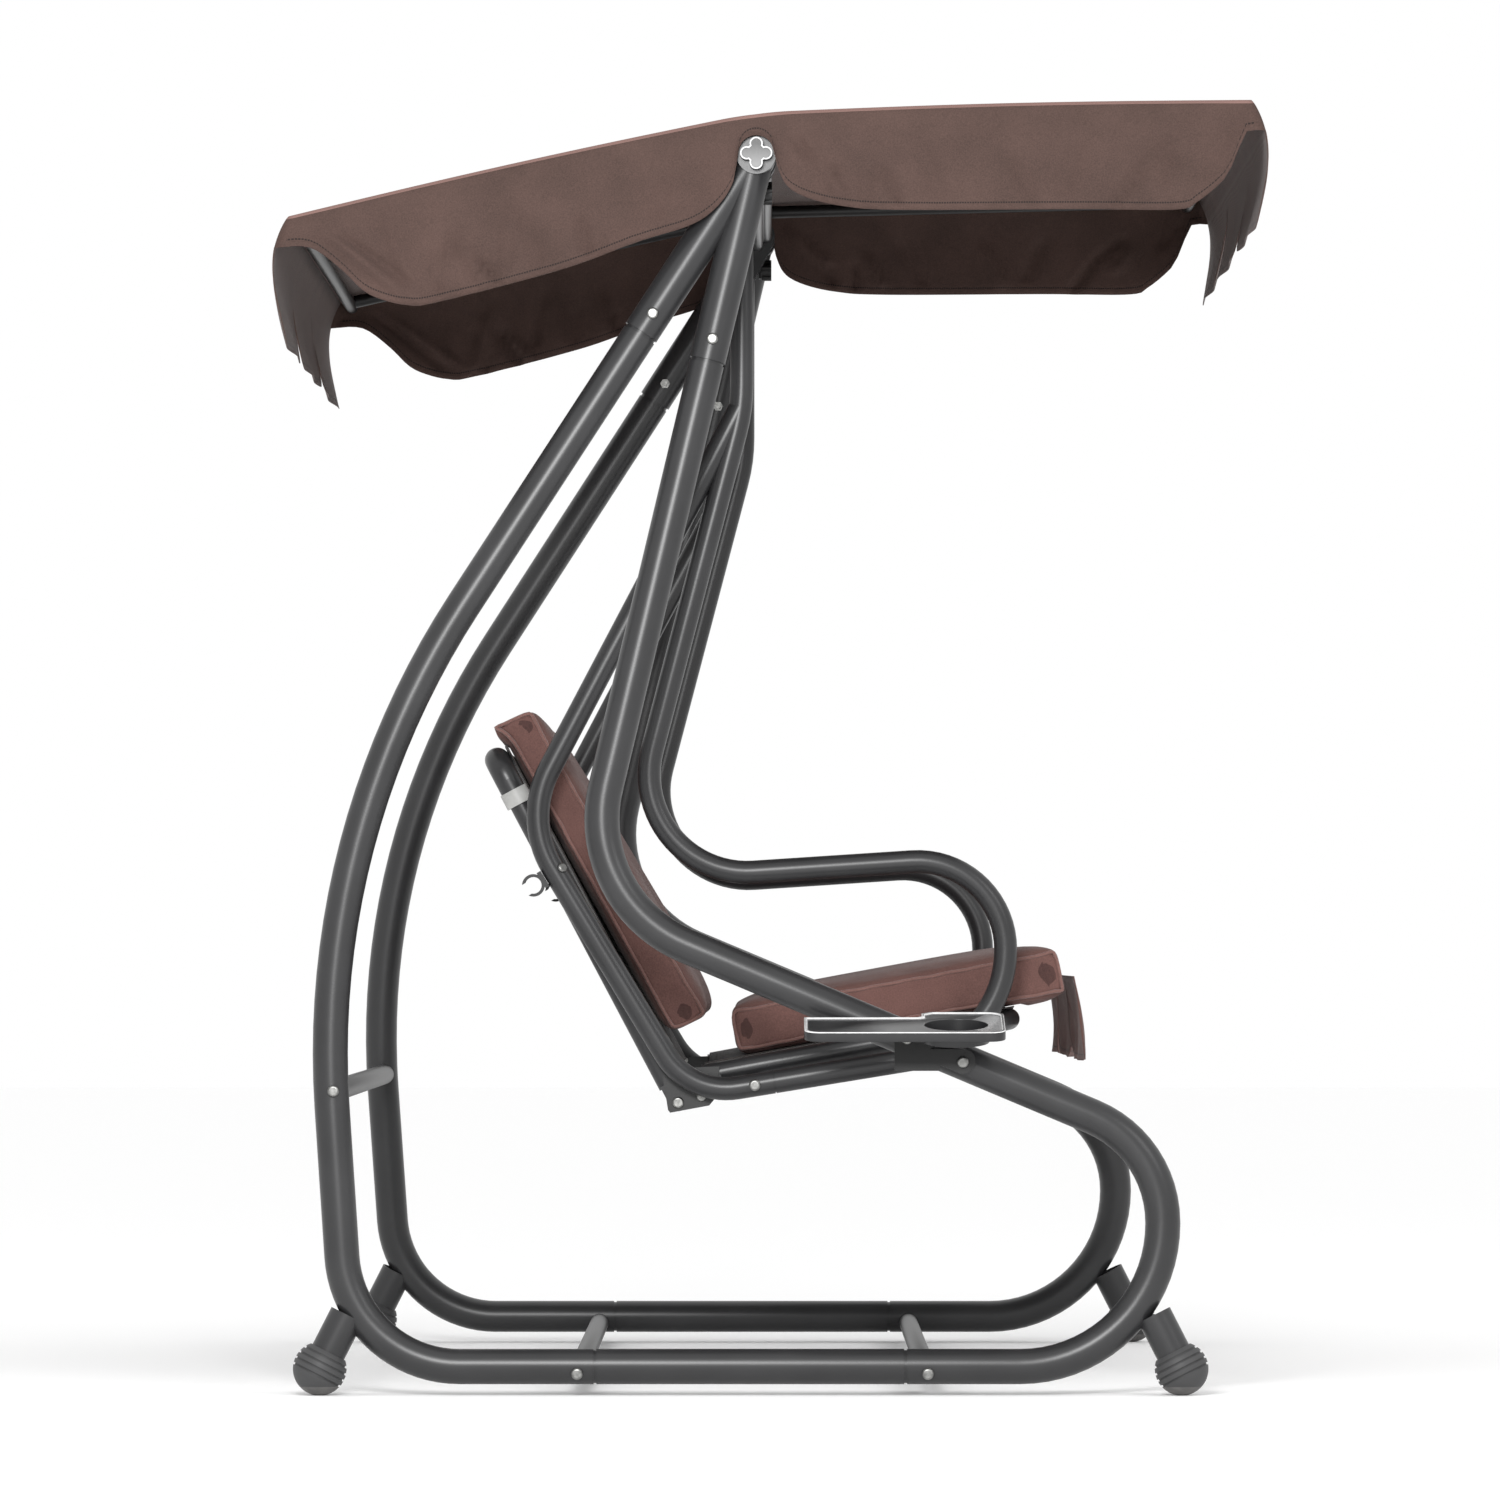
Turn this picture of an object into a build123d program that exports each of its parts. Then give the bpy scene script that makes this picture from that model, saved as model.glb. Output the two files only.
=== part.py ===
from build123d import *
import os
from math import atan2, cos, hypot, radians, sin, tan

# Three-seat garden swing with a tilting canopy, made of bent steel tubes. Millimetres.
# +X is the front, the way a sitter faces; +Y is the sitter's left; +Z is up.
# The origin is on the floor, under the middle of the whole swing.

os.makedirs("parts", exist_ok=True)

# ---- Stand: driving dimensions -------------------------------------------------------
tube_od = 48.0              # legs and base rails
tube_wall = 1.5
tube_r = tube_od / 2
neck_od = 44.6              # swaged tube end that slides into the next tube
neck_wall = 1.8
neck_length = 60.0
neck_gap = 4.0              # groove left open at each telescoped joint
swage_ring = 3.0            # length of the shoulder where a neck starts
sleeve_od = 50.0            # head sleeves, which take the necks of the legs
sleeve_bore = 45.0
sleeve_length = 290.0       # from the beam's axis to a sleeve's mouth
bolt_setback = 30.0         # from a sleeve's mouth to its bolt

base_z = 39.0               # height of the base tubes' axis
base_half = 950.0           # half width between the side frames at the base
beam_x = -19.0              # top beam's axis
beam_z = 1693.0
beam_half = 860.0           # half width between the side frames at the beam
beam_end = 914.0            # half length of the beam
rise = beam_z - base_z
lean = atan2(base_half - beam_half, rise)       # each side frame leans in towards the top

rear_knee = (-622.0, 763.0)     # corners of the bent tubes, before they are rounded
rear_heel = (-572.0, base_z)
front_knee = (-261.0, 672.0)
front_nose = (534.0, 338.0)
front_toe = (534.0, base_z)
rear_knee_r = 1120.0
rear_heel_r = 160.0
front_knee_r = 188.0
front_nose_r = 155.0
front_toe_r = 194.0
rear_joint_x = -238.0       # where the base rail meets the legs
front_joint_x = 184.0

stub_r = 24.0               # foot stub: radius of its tube
stub_length = 82.0
stub_slant = 27.0           # degrees from upright
foot_r = 36.5
foot_z = 36.0
rear_foot_x = -612.0
front_foot_x = 559.0

brace_z = 413.0             # rear cross brace
brace_od = 30.0
bar_od = 28.0               # the two cross bars between the base rails
bar_drop = 9.0              # the bars lie this far below the rails' axis
bar_rear_x = -262.0
bar_front_x = 214.0
plug_length = 26.0          # threaded plug welded into the end of each bar

bolt_d = 8.0
bolt_hole_r = 4.2
drill_reach = 40.0          # half length of a hole drilled right through a tube
head_r = 8.0
head_height = 4.6
nut_across = 13.0
nut_height = 6.5
thread_gap = 0.1            # between a bolt and its nut
clear = 0.6                 # left between two tubes that are bolted together
fit_gap = 0.2               # under a bolt's head or a nut

# ---- Seat: driving dimensions --------------------------------------------------------
pivot_x = -39.0             # swing axis, under the beam
pivot_z = 1640.0
loop_half = 745.0           # half width between the two side loops
loop_od = 32.0
loop_wall = 1.5
loop_r = loop_od / 2
hanger_bend = (-39.0, 1352.0)
arm_rear = (-210.0, 700.0)
arm_front = (325.0, 735.0)
loop_front = (325.0, 475.0)
loop_join_x = 6.0           # where the two tubes of a loop meet, under the seat
loop_rear = (-110.0, 404.0)
back_bend = (-341.0, 785.0)
arm_rear_r = 135.0
arm_front_r = 121.0
loop_front_r = 151.0
loop_rear_r = 98.0
back_bend_r = 140.0
hanger_bend_r = 260.0

rail_half = 708.0           # half width between the seat's and the backrest's rails
rail_od = 30.0
rail_r = rail_od / 2
rail_wall = 1.5
seat_origin = (-92.0, 431.0)
seat_front = (332.0, 509.0)
seat_bar_od = 20.0          # the two bars under the seat, from loop to loop
seat_bar_rear_x = -21.0
seat_bar_front_x = 225.0
seat_slope = atan2(seat_front[1] - seat_origin[1], seat_front[0] - seat_origin[0])
seat_length = hypot(seat_front[0] - seat_origin[0], seat_front[1] - seat_origin[1])
seat_corner_r = 70.0

recline_x = -127.0          # backrest hinge
recline_z = 394.0
back_top = (-378.0, 868.0)
back_slope = atan2(recline_x - back_top[0], back_top[1] - recline_z)
back_length = hypot(recline_x - back_top[0], back_top[1] - recline_z)
cap_od = 35.0               # upper part of the backrest hoop
collar_start = 467.0
collar_length = 22.0
hinge_pin_r = 5.0
running_gap = 0.05          # radial clearance of every turning fit

cushion_half = 690.0
seat_pad_thick = 71.0
pad_edge_r = 18.0
sling_gap = 0.4
sling_thick = 2.0

# ---- Canopy: driving dimensions ------------------------------------------------------
ridge_z = 1748.0
canopy_half = 905.0
cloth = 3.0
rear_edge = (-657.0, 1606.0)
front_edge = (657.0, 1765.0)
canopy_tube_od = 19.0
arm_half = 800.0            # half width between the canopy's two arms
valance_drop = 170.0
tab_count = 3
tab_corner_r = 40.0
slit_length = 62.0          # V-shaped slits between the tabs
slit_width = 50.0

RIGHT = -1
right_frame = Plane(
    origin=(0, RIGHT * base_half, base_z),
    x_dir=(1, 0, 0),
    z_dir=(0, -cos(lean), sin(lean)),
)


def frame_half(z):
    """Half width between the two side frames at height z."""
    return base_half - (z - base_z) * tan(lean)


def in_frame(point):
    """Changes (x, height) into the leaning side frame's own coordinates."""
    return (point[0], (point[1] - base_z) / cos(lean))


def beyond(start, end, distance):
    """The point at a distance from start, on the way to end."""
    length = hypot(end[0] - start[0], end[1] - start[1])
    share = distance / length
    return (start[0] + (end[0] - start[0]) * share, start[1] + (end[1] - start[1]) * share)


def bent_tube(plane, corners, radii, outer_r, inner_r):
    """A round tube along straight runs joined by arcs; inner_r of 0 gives a rod."""
    with BuildPart() as bent:
        with BuildLine(plane) as route:
            FilletPolyline(*corners, radius=radii)
        with BuildSketch(Plane(origin=route.line @ 0, z_dir=route.line % 0)):
            Circle(outer_r)
            if inner_r > 0:
                Circle(inner_r, mode=Mode.SUBTRACT)
        sweep(path=route.line)
    return bent.part


def swaged_end(plane, start, toward, tube_outer, outer_r, wall, length):
    """The narrowed end of a tube: a shoulder ring inside the tube, then the neck."""
    begin = plane.from_local_coords(Vector(*start, 0))
    finish = plane.from_local_coords(Vector(*toward, 0))
    place = Plane(origin=begin, z_dir=finish - begin)
    with BuildPart() as end:
        with BuildSketch(place.offset(-swage_ring)):
            Circle(tube_outer)
            Circle(outer_r - wall, mode=Mode.SUBTRACT)
        extrude(amount=swage_ring)
        with BuildSketch(place):
            Circle(outer_r)
            Circle(outer_r - wall, mode=Mode.SUBTRACT)
        extrude(amount=length)
    return end.part


def side_hole(places, radius):
    """Round holes along Y through one side frame or loop; places are (x, y, z)."""
    with BuildPart() as drill:
        for x, y, z in places:
            with BuildSketch(Plane(origin=(x, y - drill_reach, z), z_dir=(0, 1, 0))):
                Circle(radius)
            extrude(amount=2 * drill_reach)
    return drill.part


def cross_tube(x, z, half_length, outer_r, wall):
    """A tube along Y with a drilled plug welded into each end."""
    with BuildPart() as bar:
        with BuildSketch(Plane(origin=(x, -half_length, z), z_dir=(0, 1, 0))):
            Circle(outer_r)
            Circle(bolt_hole_r, mode=Mode.SUBTRACT)
        extrude(amount=2 * half_length)
        with BuildSketch(Plane(origin=(x, plug_length - half_length, z), z_dir=(0, 1, 0))):
            Circle(outer_r - wall)
        extrude(amount=2 * (half_length - plug_length), mode=Mode.SUBTRACT)
    return bar.part


def domed_bolt(shank_r, length, cap_r, cap_height):
    """A round-headed bolt; its head stands on the XY plane and its shank runs down."""
    with BuildPart() as bolt:
        with BuildSketch():
            Circle(cap_r)
        extrude(amount=cap_height)
        fillet(bolt.edges().group_by(Axis.Z)[-1], radius=cap_height * 0.7)
        with BuildSketch():
            Circle(shank_r)
        extrude(amount=-length)
    return bolt.part


def hex_nut(across, bore_r, height):
    """A hexagonal nut standing on the XY plane."""
    with BuildPart() as nut:
        with BuildSketch():
            RegularPolygon(radius=across / 2, side_count=6, major_radius=False)
            Circle(bore_r, mode=Mode.SUBTRACT)
        extrude(amount=height)
    return nut.part


def outward(x, y, z):
    """A plane at (x, y, z) that faces away from the swing's middle along Y."""
    return Plane(origin=(x, y, z), x_dir=(1, 0, 0), z_dir=(0, 1 if y > 0 else -1, 0))


def export_pair(name, right_piece):
    """Writes a right-hand piece and its mirror image, the left-hand piece."""
    left_piece = mirror(right_piece, about=Plane.XZ)
    for hand, piece in (("right", right_piece), ("left", left_piece)):
        piece.label = f"{name}_{hand}"
        export_step(piece, f"parts/{piece.label}.step")


# ---- Top beam: a four-lobed tube with a plug in each end -------------------------------
lobe_r = 9.0                # radius of each rounded lobe
lobe_reach = 22.0           # from the beam's axis to the tip of a lobe
waist_r = 13.5              # radius of the round middle between the lobes
beam_wall = 2.0
bracket_gap = 0.3           # all round, where the head brackets slide over the beam


def lobed_outline(growth):
    """The beam's cross-section, grown by an amount all round."""
    Circle(waist_r + growth)
    with PolarLocations(lobe_reach - lobe_r, 4):
        Circle(lobe_r + growth)


beam_start = Plane(origin=(beam_x, -beam_end, beam_z), x_dir=(1, 0, 0), z_dir=(0, 1, 0))
with BuildPart() as top_beam:
    with BuildSketch(beam_start):
        lobed_outline(0)
    extrude(amount=2 * beam_end)
    with BuildSketch(beam_start):
        lobed_outline(-beam_wall)
    extrude(amount=2 * beam_end, mode=Mode.SUBTRACT)
top_beam.part.label = "top_beam"
export_step(top_beam.part, "parts/top_beam.step")

plug_depth = 18.0
plug_recess = 1.5
plug_gap = 0.2
with BuildPart() as beam_end_plugs:
    for inner_end in (-beam_end + plug_recess, beam_end - plug_recess - plug_depth):
        start = Plane(origin=(beam_x, inner_end, beam_z), x_dir=(1, 0, 0), z_dir=(0, 1, 0))
        with BuildSketch(start):
            lobed_outline(-beam_wall - plug_gap)
        extrude(amount=plug_depth)
beam_end_plugs.part.label = "beam_end_plugs"
export_step(beam_end_plugs.part, "parts/beam_end_plugs.step")

# ---- Head brackets: the two sleeves of a side, welded round the beam ------------------
beam_point = (beam_x, beam_z)
rear_mouth = beyond(beam_point, rear_knee, sleeve_length)
front_mouth = beyond(beam_point, front_knee, sleeve_length)
rear_bolt = beyond(beam_point, rear_knee, sleeve_length - bolt_setback)
front_bolt = beyond(beam_point, front_knee, sleeve_length - bolt_setback)
head_bolts = [(x, RIGHT * frame_half(z), z) for x, z in (rear_bolt, front_bolt)]
head_r_out = 27.0           # the collar round the beam that joins the sleeves' tops
head_collar = 64.0          # length of that collar


def sleeve_plane(mouth):
    """A plane on the beam's axis that faces down a sleeve."""
    top = right_frame.from_local_coords(Vector(*in_frame(beam_point), 0))
    low = right_frame.from_local_coords(Vector(*in_frame(mouth), 0))
    return Plane(origin=top, z_dir=low - top)


with BuildPart() as head_bracket:
    for mouth in (rear_mouth, front_mouth):
        with BuildSketch(sleeve_plane(mouth)):
            Circle(sleeve_od / 2)
        extrude(amount=sleeve_length)
    collar_start_y = -beam_half - head_collar / 2
    with BuildSketch(Plane(origin=(beam_x, collar_start_y, beam_z), z_dir=(0, 1, 0))):
        Circle(head_r_out)
    extrude(amount=head_collar)
    for mouth in (rear_mouth, front_mouth):
        with BuildSketch(sleeve_plane(mouth).offset(head_r_out)):
            Circle(sleeve_bore / 2)
        extrude(amount=sleeve_length, mode=Mode.SUBTRACT)
    with BuildSketch(beam_start):
        lobed_outline(bracket_gap)
    extrude(amount=2 * beam_end, mode=Mode.SUBTRACT)
    add(side_hole(head_bolts, bolt_hole_r), mode=Mode.SUBTRACT)
export_pair("head_bracket", head_bracket.part)

# ---- Legs: bent tubes with a neck at each end that meets another tube ------------------
rear_leg_top = beyond(beam_point, rear_knee, sleeve_length + neck_gap)
front_leg_top = beyond(beam_point, front_knee, sleeve_length + neck_gap)
rail_bolts = [(x, RIGHT * frame_half(base_z - bar_drop), base_z - bar_drop)
              for x in (bar_rear_x, bar_front_x)]
brace_t = (brace_z - rear_heel[1]) / (rear_knee[1] - rear_heel[1])
brace_inset = 4.0           # the bent leg runs this far in front of its straight corner line
brace_x = rear_heel[0] + (rear_knee[0] - rear_heel[0]) * brace_t + brace_inset
brace_bolt = (brace_x, RIGHT * frame_half(brace_z), brace_z)


def foot_stub(foot_x, toward_middle):
    """The short tube that carries a foot, from inside the leg to the foot's middle."""
    slant = radians(stub_slant)
    head = (foot_x + toward_middle * stub_length * sin(slant), foot_z + stub_length * cos(slant))
    start = right_frame.from_local_coords(Vector(*in_frame((foot_x, foot_z)), 0))
    finish = right_frame.from_local_coords(Vector(*in_frame(head), 0))
    return Plane(origin=start, z_dir=finish - start)


def leg(corners, radii, foot_plane, holes):
    """One leg of the right side, from its neck in the head sleeve to its base socket."""
    points = [in_frame(point) for point in corners]
    top_way = (points[0][0] * 2 - points[1][0], points[0][1] * 2 - points[1][1])
    rod = bent_tube(right_frame, points, radii, tube_r, 0)
    with BuildPart() as made:
        with BuildSketch(foot_plane):
            Circle(stub_r)
            Circle(stub_r - tube_wall, mode=Mode.SUBTRACT)
        extrude(amount=stub_length)
        add(rod, mode=Mode.SUBTRACT)
        add(bent_tube(right_frame, points, radii, tube_r, tube_r - tube_wall))
        add(swaged_end(right_frame, points[0], top_way, tube_r, neck_od / 2, neck_wall,
                       neck_length + neck_gap))
        add(side_hole(holes, bolt_hole_r), mode=Mode.SUBTRACT)
        far_side = Plane(origin=foot_plane.origin, z_dir=-foot_plane.z_dir)
        with BuildSketch(far_side):
            Circle(2 * foot_r)
        extrude(amount=2 * foot_r, mode=Mode.SUBTRACT)
    return made.part


rear_foot = foot_stub(rear_foot_x, 1)
front_foot = foot_stub(front_foot_x, -1)
rear_corners = (rear_leg_top, rear_knee, rear_heel, (rear_joint_x - neck_gap / 2, base_z))
front_corners = (front_leg_top, front_knee, front_nose, front_toe,
                 (front_joint_x + neck_gap / 2, base_z))
rear_leg = leg(rear_corners, [rear_knee_r, rear_heel_r], rear_foot,
               [head_bolts[0], rail_bolts[0], brace_bolt])
tray_bolt_x = (186.0, 262.0)
slope_front = atan2(front_knee[1] - front_nose[1], front_nose[0] - front_knee[0])
tray_bolts = []
for x in tray_bolt_x:
    z = front_knee[1] - (x - front_knee[0]) * tan(slope_front)
    tray_bolts.append((x, RIGHT * frame_half(z), z))
front_leg = leg(front_corners, [front_knee_r, front_nose_r, front_toe_r], front_foot,
                [head_bolts[1], rail_bolts[1]] + tray_bolts)
export_pair("rear_leg", rear_leg)
export_pair("front_leg", front_leg)

# ---- Base rails: straight tubes whose necks slide into the legs ------------------------
rail_start = (rear_joint_x + neck_gap / 2, 0)
rail_finish = (front_joint_x - neck_gap / 2, 0)
with BuildPart() as base_rail:
    rail_begin = right_frame.from_local_coords(Vector(*rail_start, 0))
    with BuildSketch(Plane(origin=rail_begin, z_dir=(1, 0, 0))):
        Circle(tube_r)
        Circle(tube_r - tube_wall, mode=Mode.SUBTRACT)
    extrude(amount=rail_finish[0] - rail_start[0])
    for end, way in ((rail_start, -1), (rail_finish, 1)):
        add(swaged_end(right_frame, end, (end[0] + way, 0), tube_r, neck_od / 2, neck_wall,
                       neck_length))
    add(side_hole(rail_bolts, bolt_hole_r), mode=Mode.SUBTRACT)
export_pair("base_rail", base_rail.part)

# ---- Cross members between the two side frames -----------------------------------------
brace_reach = frame_half(brace_z) - tube_r / cos(lean) - clear - brace_od / 2 * tan(lean)
bar_reach = frame_half(base_z - bar_drop) - tube_r / cos(lean) - clear
members = (
    ("rear_cross_brace", brace_x, brace_z, brace_reach, brace_od),
    ("rear_floor_bar", bar_rear_x, base_z - bar_drop, bar_reach, bar_od),
    ("front_floor_bar", bar_front_x, base_z - bar_drop, bar_reach, bar_od),
)
for name, x, z, reach, od in members:
    member = cross_tube(x, z, reach, od / 2, tube_wall)
    member.label = name
    export_step(member, f"parts/{name}.step")

# ---- Ribbed ball feet --------------------------------------------------------------------
rib_count = 5
rib_pitch = 9.0
rib_depth = 2.2
rib_height = 3.0
socket_gap = 0.4


def ball_foot(plane):
    """A hollowed ball pushed onto a foot stub, with grooves round it and a flat pad below."""
    with BuildPart() as foot:
        with BuildSketch(Plane(origin=plane.origin, x_dir=plane.x_dir,
                               z_dir=plane.y_dir)):
            Circle(foot_r)
            Rectangle(2 * foot_r, 2 * foot_r, align=(Align.MAX, Align.CENTER), mode=Mode.SUBTRACT)
        revolve(axis=Axis(plane.origin, plane.z_dir))
        for rib in range(rib_count):
            lift = (rib - 1) * rib_pitch
            ring = (foot_r ** 2 - lift ** 2) ** 0.5
            with BuildSketch(plane.offset(lift - (rib_pitch - rib_height) / 4)):
                Circle(ring + 4)
                Circle(ring - rib_depth, mode=Mode.SUBTRACT)
            extrude(amount=rib_height, mode=Mode.SUBTRACT)
        with BuildSketch(plane):
            Circle(stub_r + socket_gap)
        extrude(amount=foot_r + 5, mode=Mode.SUBTRACT)
        with BuildSketch(Plane.XY.offset(-foot_r)):
            with Locations((plane.origin.X, plane.origin.Y)):
                Circle(2 * foot_r)
        extrude(amount=foot_r, mode=Mode.SUBTRACT)
    return foot.part


export_pair("rear_foot", ball_foot(rear_foot))
export_pair("front_foot", ball_foot(front_foot))

# ---- Hanger brackets: a saddle round the beam with two ears that hold a pivot bolt -----
ear_thick = 4.0
ear_gap = 38.0              # between the two ears
ear_width = 40.0
saddle_r = 27.0
pivot_bolt_r = 6.0
pivot_hole_gap = 0.2
bracket_middle = RIGHT * loop_half
with BuildPart() as hanger_bracket:
    for inner_face in (bracket_middle - ear_gap / 2 - ear_thick, bracket_middle + ear_gap / 2):
        ear_plane = Plane(origin=(0, inner_face, 0), x_dir=(-1, 0, 0), z_dir=(0, 1, 0))
        with BuildSketch(ear_plane):
            with Locations((-beam_x, beam_z)):
                Circle(saddle_r)
            with Locations((-pivot_x, pivot_z)):
                Circle(ear_width / 2)
            make_hull()
        extrude(amount=ear_thick)
    saddle = Plane(origin=(beam_x, bracket_middle - ear_gap / 2, beam_z), x_dir=(1, 0, 0),
                   z_dir=(0, 1, 0))
    with BuildSketch(saddle):
        Circle(saddle_r)
    extrude(amount=ear_gap)
    with BuildSketch(beam_start):
        lobed_outline(bracket_gap)
    extrude(amount=2 * beam_end, mode=Mode.SUBTRACT)
    pivot_place = (pivot_x, bracket_middle, pivot_z)
    add(side_hole([pivot_place], pivot_bolt_r + pivot_hole_gap), mode=Mode.SUBTRACT)
export_pair("hanger_bracket", hanger_bracket.part)

# ---- Cup trays: a lipped tray beside each front leg, on a bent strap --------------------
tray_rear_x = 46.0
tray_front_x = 318.0
tray_depth = 155.0          # from the inner to the outer edge
tray_middle_z = 507.0
tray_tilt = 10.0            # degrees, falling to the outside
tray_thick = 13.0
tray_floor = 10.0           # the lip stands 3 above it
tray_lip = 4.5
tray_corner = 22.0
notch_length = 160.0        # cut out where the leg passes through the inner edge
notch_depth = 40.0
cup_x = 252.0
cup_r = 43.0
cup_depth = 24.0
cup_wall = 3.0
tray_length = tray_front_x - tray_rear_x
tray_half = tray_depth / 2
tray_overlap = 11.0         # the inner edge lies this far inside the side frame's middle
tray_inner_y = frame_half(tray_middle_z) - tray_overlap
tray_centre = (
    (tray_rear_x + tray_front_x) / 2,
    -(tray_inner_y + tray_half * cos(radians(tray_tilt))),
    tray_middle_z,
)
tray_plane = Plane(
    origin=tray_centre,
    x_dir=(1, 0, 0),
    z_dir=(0, -sin(radians(tray_tilt)), cos(radians(tray_tilt))),
)
cup_outset = 4.0            # the well lies this far outside the tray's middle line
cup_place = (cup_x - tray_centre[0], -cup_outset)


def tray_corners(inset):
    """The tray's outline from above, inset from its edge, with the leg's notch cut out."""
    half_x = tray_length / 2 - inset
    half_y = tray_half - inset
    notch_x = notch_length + inset - tray_length / 2
    notch_y = tray_half - notch_depth - inset
    return (
        (-half_x, tray_corner - half_y),
        (tray_corner - half_x, -half_y),
        (half_x - tray_corner, -half_y),
        (half_x, tray_corner - half_y),
        (half_x, half_y - tray_corner),
        (half_x - tray_corner, half_y),
        (notch_x, half_y),
        (notch_x, notch_y),
        (-half_x, notch_y),
    )


with BuildPart() as tray:
    with BuildSketch(tray_plane):
        with BuildLine():
            Polyline(*tray_corners(0), close=True)
        make_face()
    extrude(amount=-tray_thick)
    with BuildSketch(tray_plane.offset(tray_floor - tray_thick)):
        with BuildLine():
            Polyline(*tray_corners(tray_lip), close=True)
        make_face()
    extrude(amount=tray_thick, mode=Mode.SUBTRACT)
    with BuildSketch(tray_plane.offset(-cup_depth - cup_wall)):
        with Locations(cup_place):
            Circle(cup_r + cup_wall)
    extrude(amount=cup_depth + cup_wall - tray_thick + tray_floor)
    with BuildSketch(tray_plane.offset(-cup_depth)):
        with Locations(cup_place):
            Circle(cup_r)
    extrude(amount=cup_depth + 5, mode=Mode.SUBTRACT)
export_pair("cup_tray", tray.part)

strap_thick = 4.0
strap_width = 34.0
strap_reach = 92.0
strap_plate = 62.0          # width of the plate below the tray
strap_flank = 60.0          # height of the plate beside the leg
strap_inset = 42.0          # from the tray's inner edge to the end of its plate
strap_gap = 0.4
cup_room = 30.0             # height cut out of the plate for the cup well
under_gap = 0.3
strap_x = tray_bolt_x[0] + 14
strap_below = tray_plane.offset(-tray_thick - under_gap)
with BuildPart() as tray_strap:
    with BuildSketch(right_frame.offset(tube_r + strap_gap)):
        for x, y, z in tray_bolts:
            with Locations(in_frame((x, z))):
                Circle(strap_width / 2)
        make_hull()
        foot_line = in_frame((0, tray_middle_z - 2))[1]
        with Locations((strap_x, foot_line - 36)):
            Rectangle(strap_plate, strap_flank)
    extrude(amount=strap_thick)
    with BuildSketch(strap_below):
        strap_middle = tray_half - strap_inset - strap_reach / 2
        with Locations((strap_x - tray_centre[0], strap_middle)):
            Rectangle(strap_plate, strap_reach)
    extrude(amount=-strap_thick)
    with BuildSketch(strap_below.offset(strap_flank)):
        Rectangle(2 * tray_length, 2 * tray_depth)
    extrude(amount=-strap_flank, mode=Mode.SUBTRACT)
    with BuildSketch(strap_below.offset(1)):
        with Locations(cup_place):
            Circle(cup_r + cup_wall + 1)
    extrude(amount=-cup_room, mode=Mode.SUBTRACT)
    add(side_hole(tray_bolts, bolt_hole_r), mode=Mode.SUBTRACT)
export_pair("tray_strap", tray_strap.part)

# ---- Fasteners of the stand ---------------------------------------------------------------
head_bolt_length = 66.0
rail_bolt_length = 74.0
through_bolt = domed_bolt(bolt_d / 2, head_bolt_length, head_r, head_height)
rail_bolt = domed_bolt(bolt_d / 2, rail_bolt_length, head_r, head_height)
lock_nut = hex_nut(nut_across, bolt_d / 2 + thread_gap, nut_height)
head_stand_off = 0.7
with BuildPart() as stand_bolts:
    for side in (1, -1):
        for x, y, z in head_bolts:
            spot = outward(x, -side * y, z).offset(sleeve_od / 2 + head_stand_off)
            add(spot.location * through_bolt)
        for x, y, z in rail_bolts + [brace_bolt]:
            spot = outward(x, -side * y, z).offset(tube_r + head_stand_off)
            add(spot.location * rail_bolt)
        for x, y, z in tray_bolts:
            stack = tube_r + strap_thick + head_stand_off + strap_gap
            add(outward(x, -side * y, z).offset(stack).location * through_bolt)
stand_bolts.part.label = "stand_bolts"
export_step(stand_bolts.part, "parts/stand_bolts.step")

with BuildPart() as stand_nuts:
    for side in (1, -1):
        for x, y, z in head_bolts:
            below = outward(x, -side * y, z).offset(-sleeve_od / 2 - head_stand_off - nut_height)
            add(below.location * lock_nut)
        for x, y, z in tray_bolts:
            below = outward(x, -side * y, z).offset(-tube_r - head_stand_off - nut_height)
            add(below.location * lock_nut)
stand_nuts.part.label = "stand_nuts"
export_step(stand_nuts.part, "parts/stand_nuts.step")

pivot_bolt_grip = ear_gap + 2 * ear_thick
pivot_spare = 12.0          # thread that stands past the ears
pivot_head_r = 10.0
pivot_head_height = 7.0
pivot_nut_across = 19.0
pivot_nut_height = 10.0
with BuildPart() as pivot_bolts:
    for side in (1, -1):
        face = outward(pivot_x, side * loop_half, pivot_z)
        bolt = domed_bolt(pivot_bolt_r, pivot_bolt_grip + pivot_spare, pivot_head_r,
                          pivot_head_height)
        add(face.offset(pivot_bolt_grip / 2 + fit_gap).location * bolt)
        nut = hex_nut(pivot_nut_across, pivot_bolt_r + thread_gap, pivot_nut_height)
        add(face.offset(-pivot_bolt_grip / 2 - fit_gap - pivot_nut_height).location * nut)
pivot_bolts.part.label = "pivot_bolts"
export_step(pivot_bolts.part, "parts/pivot_bolts.step")

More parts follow.
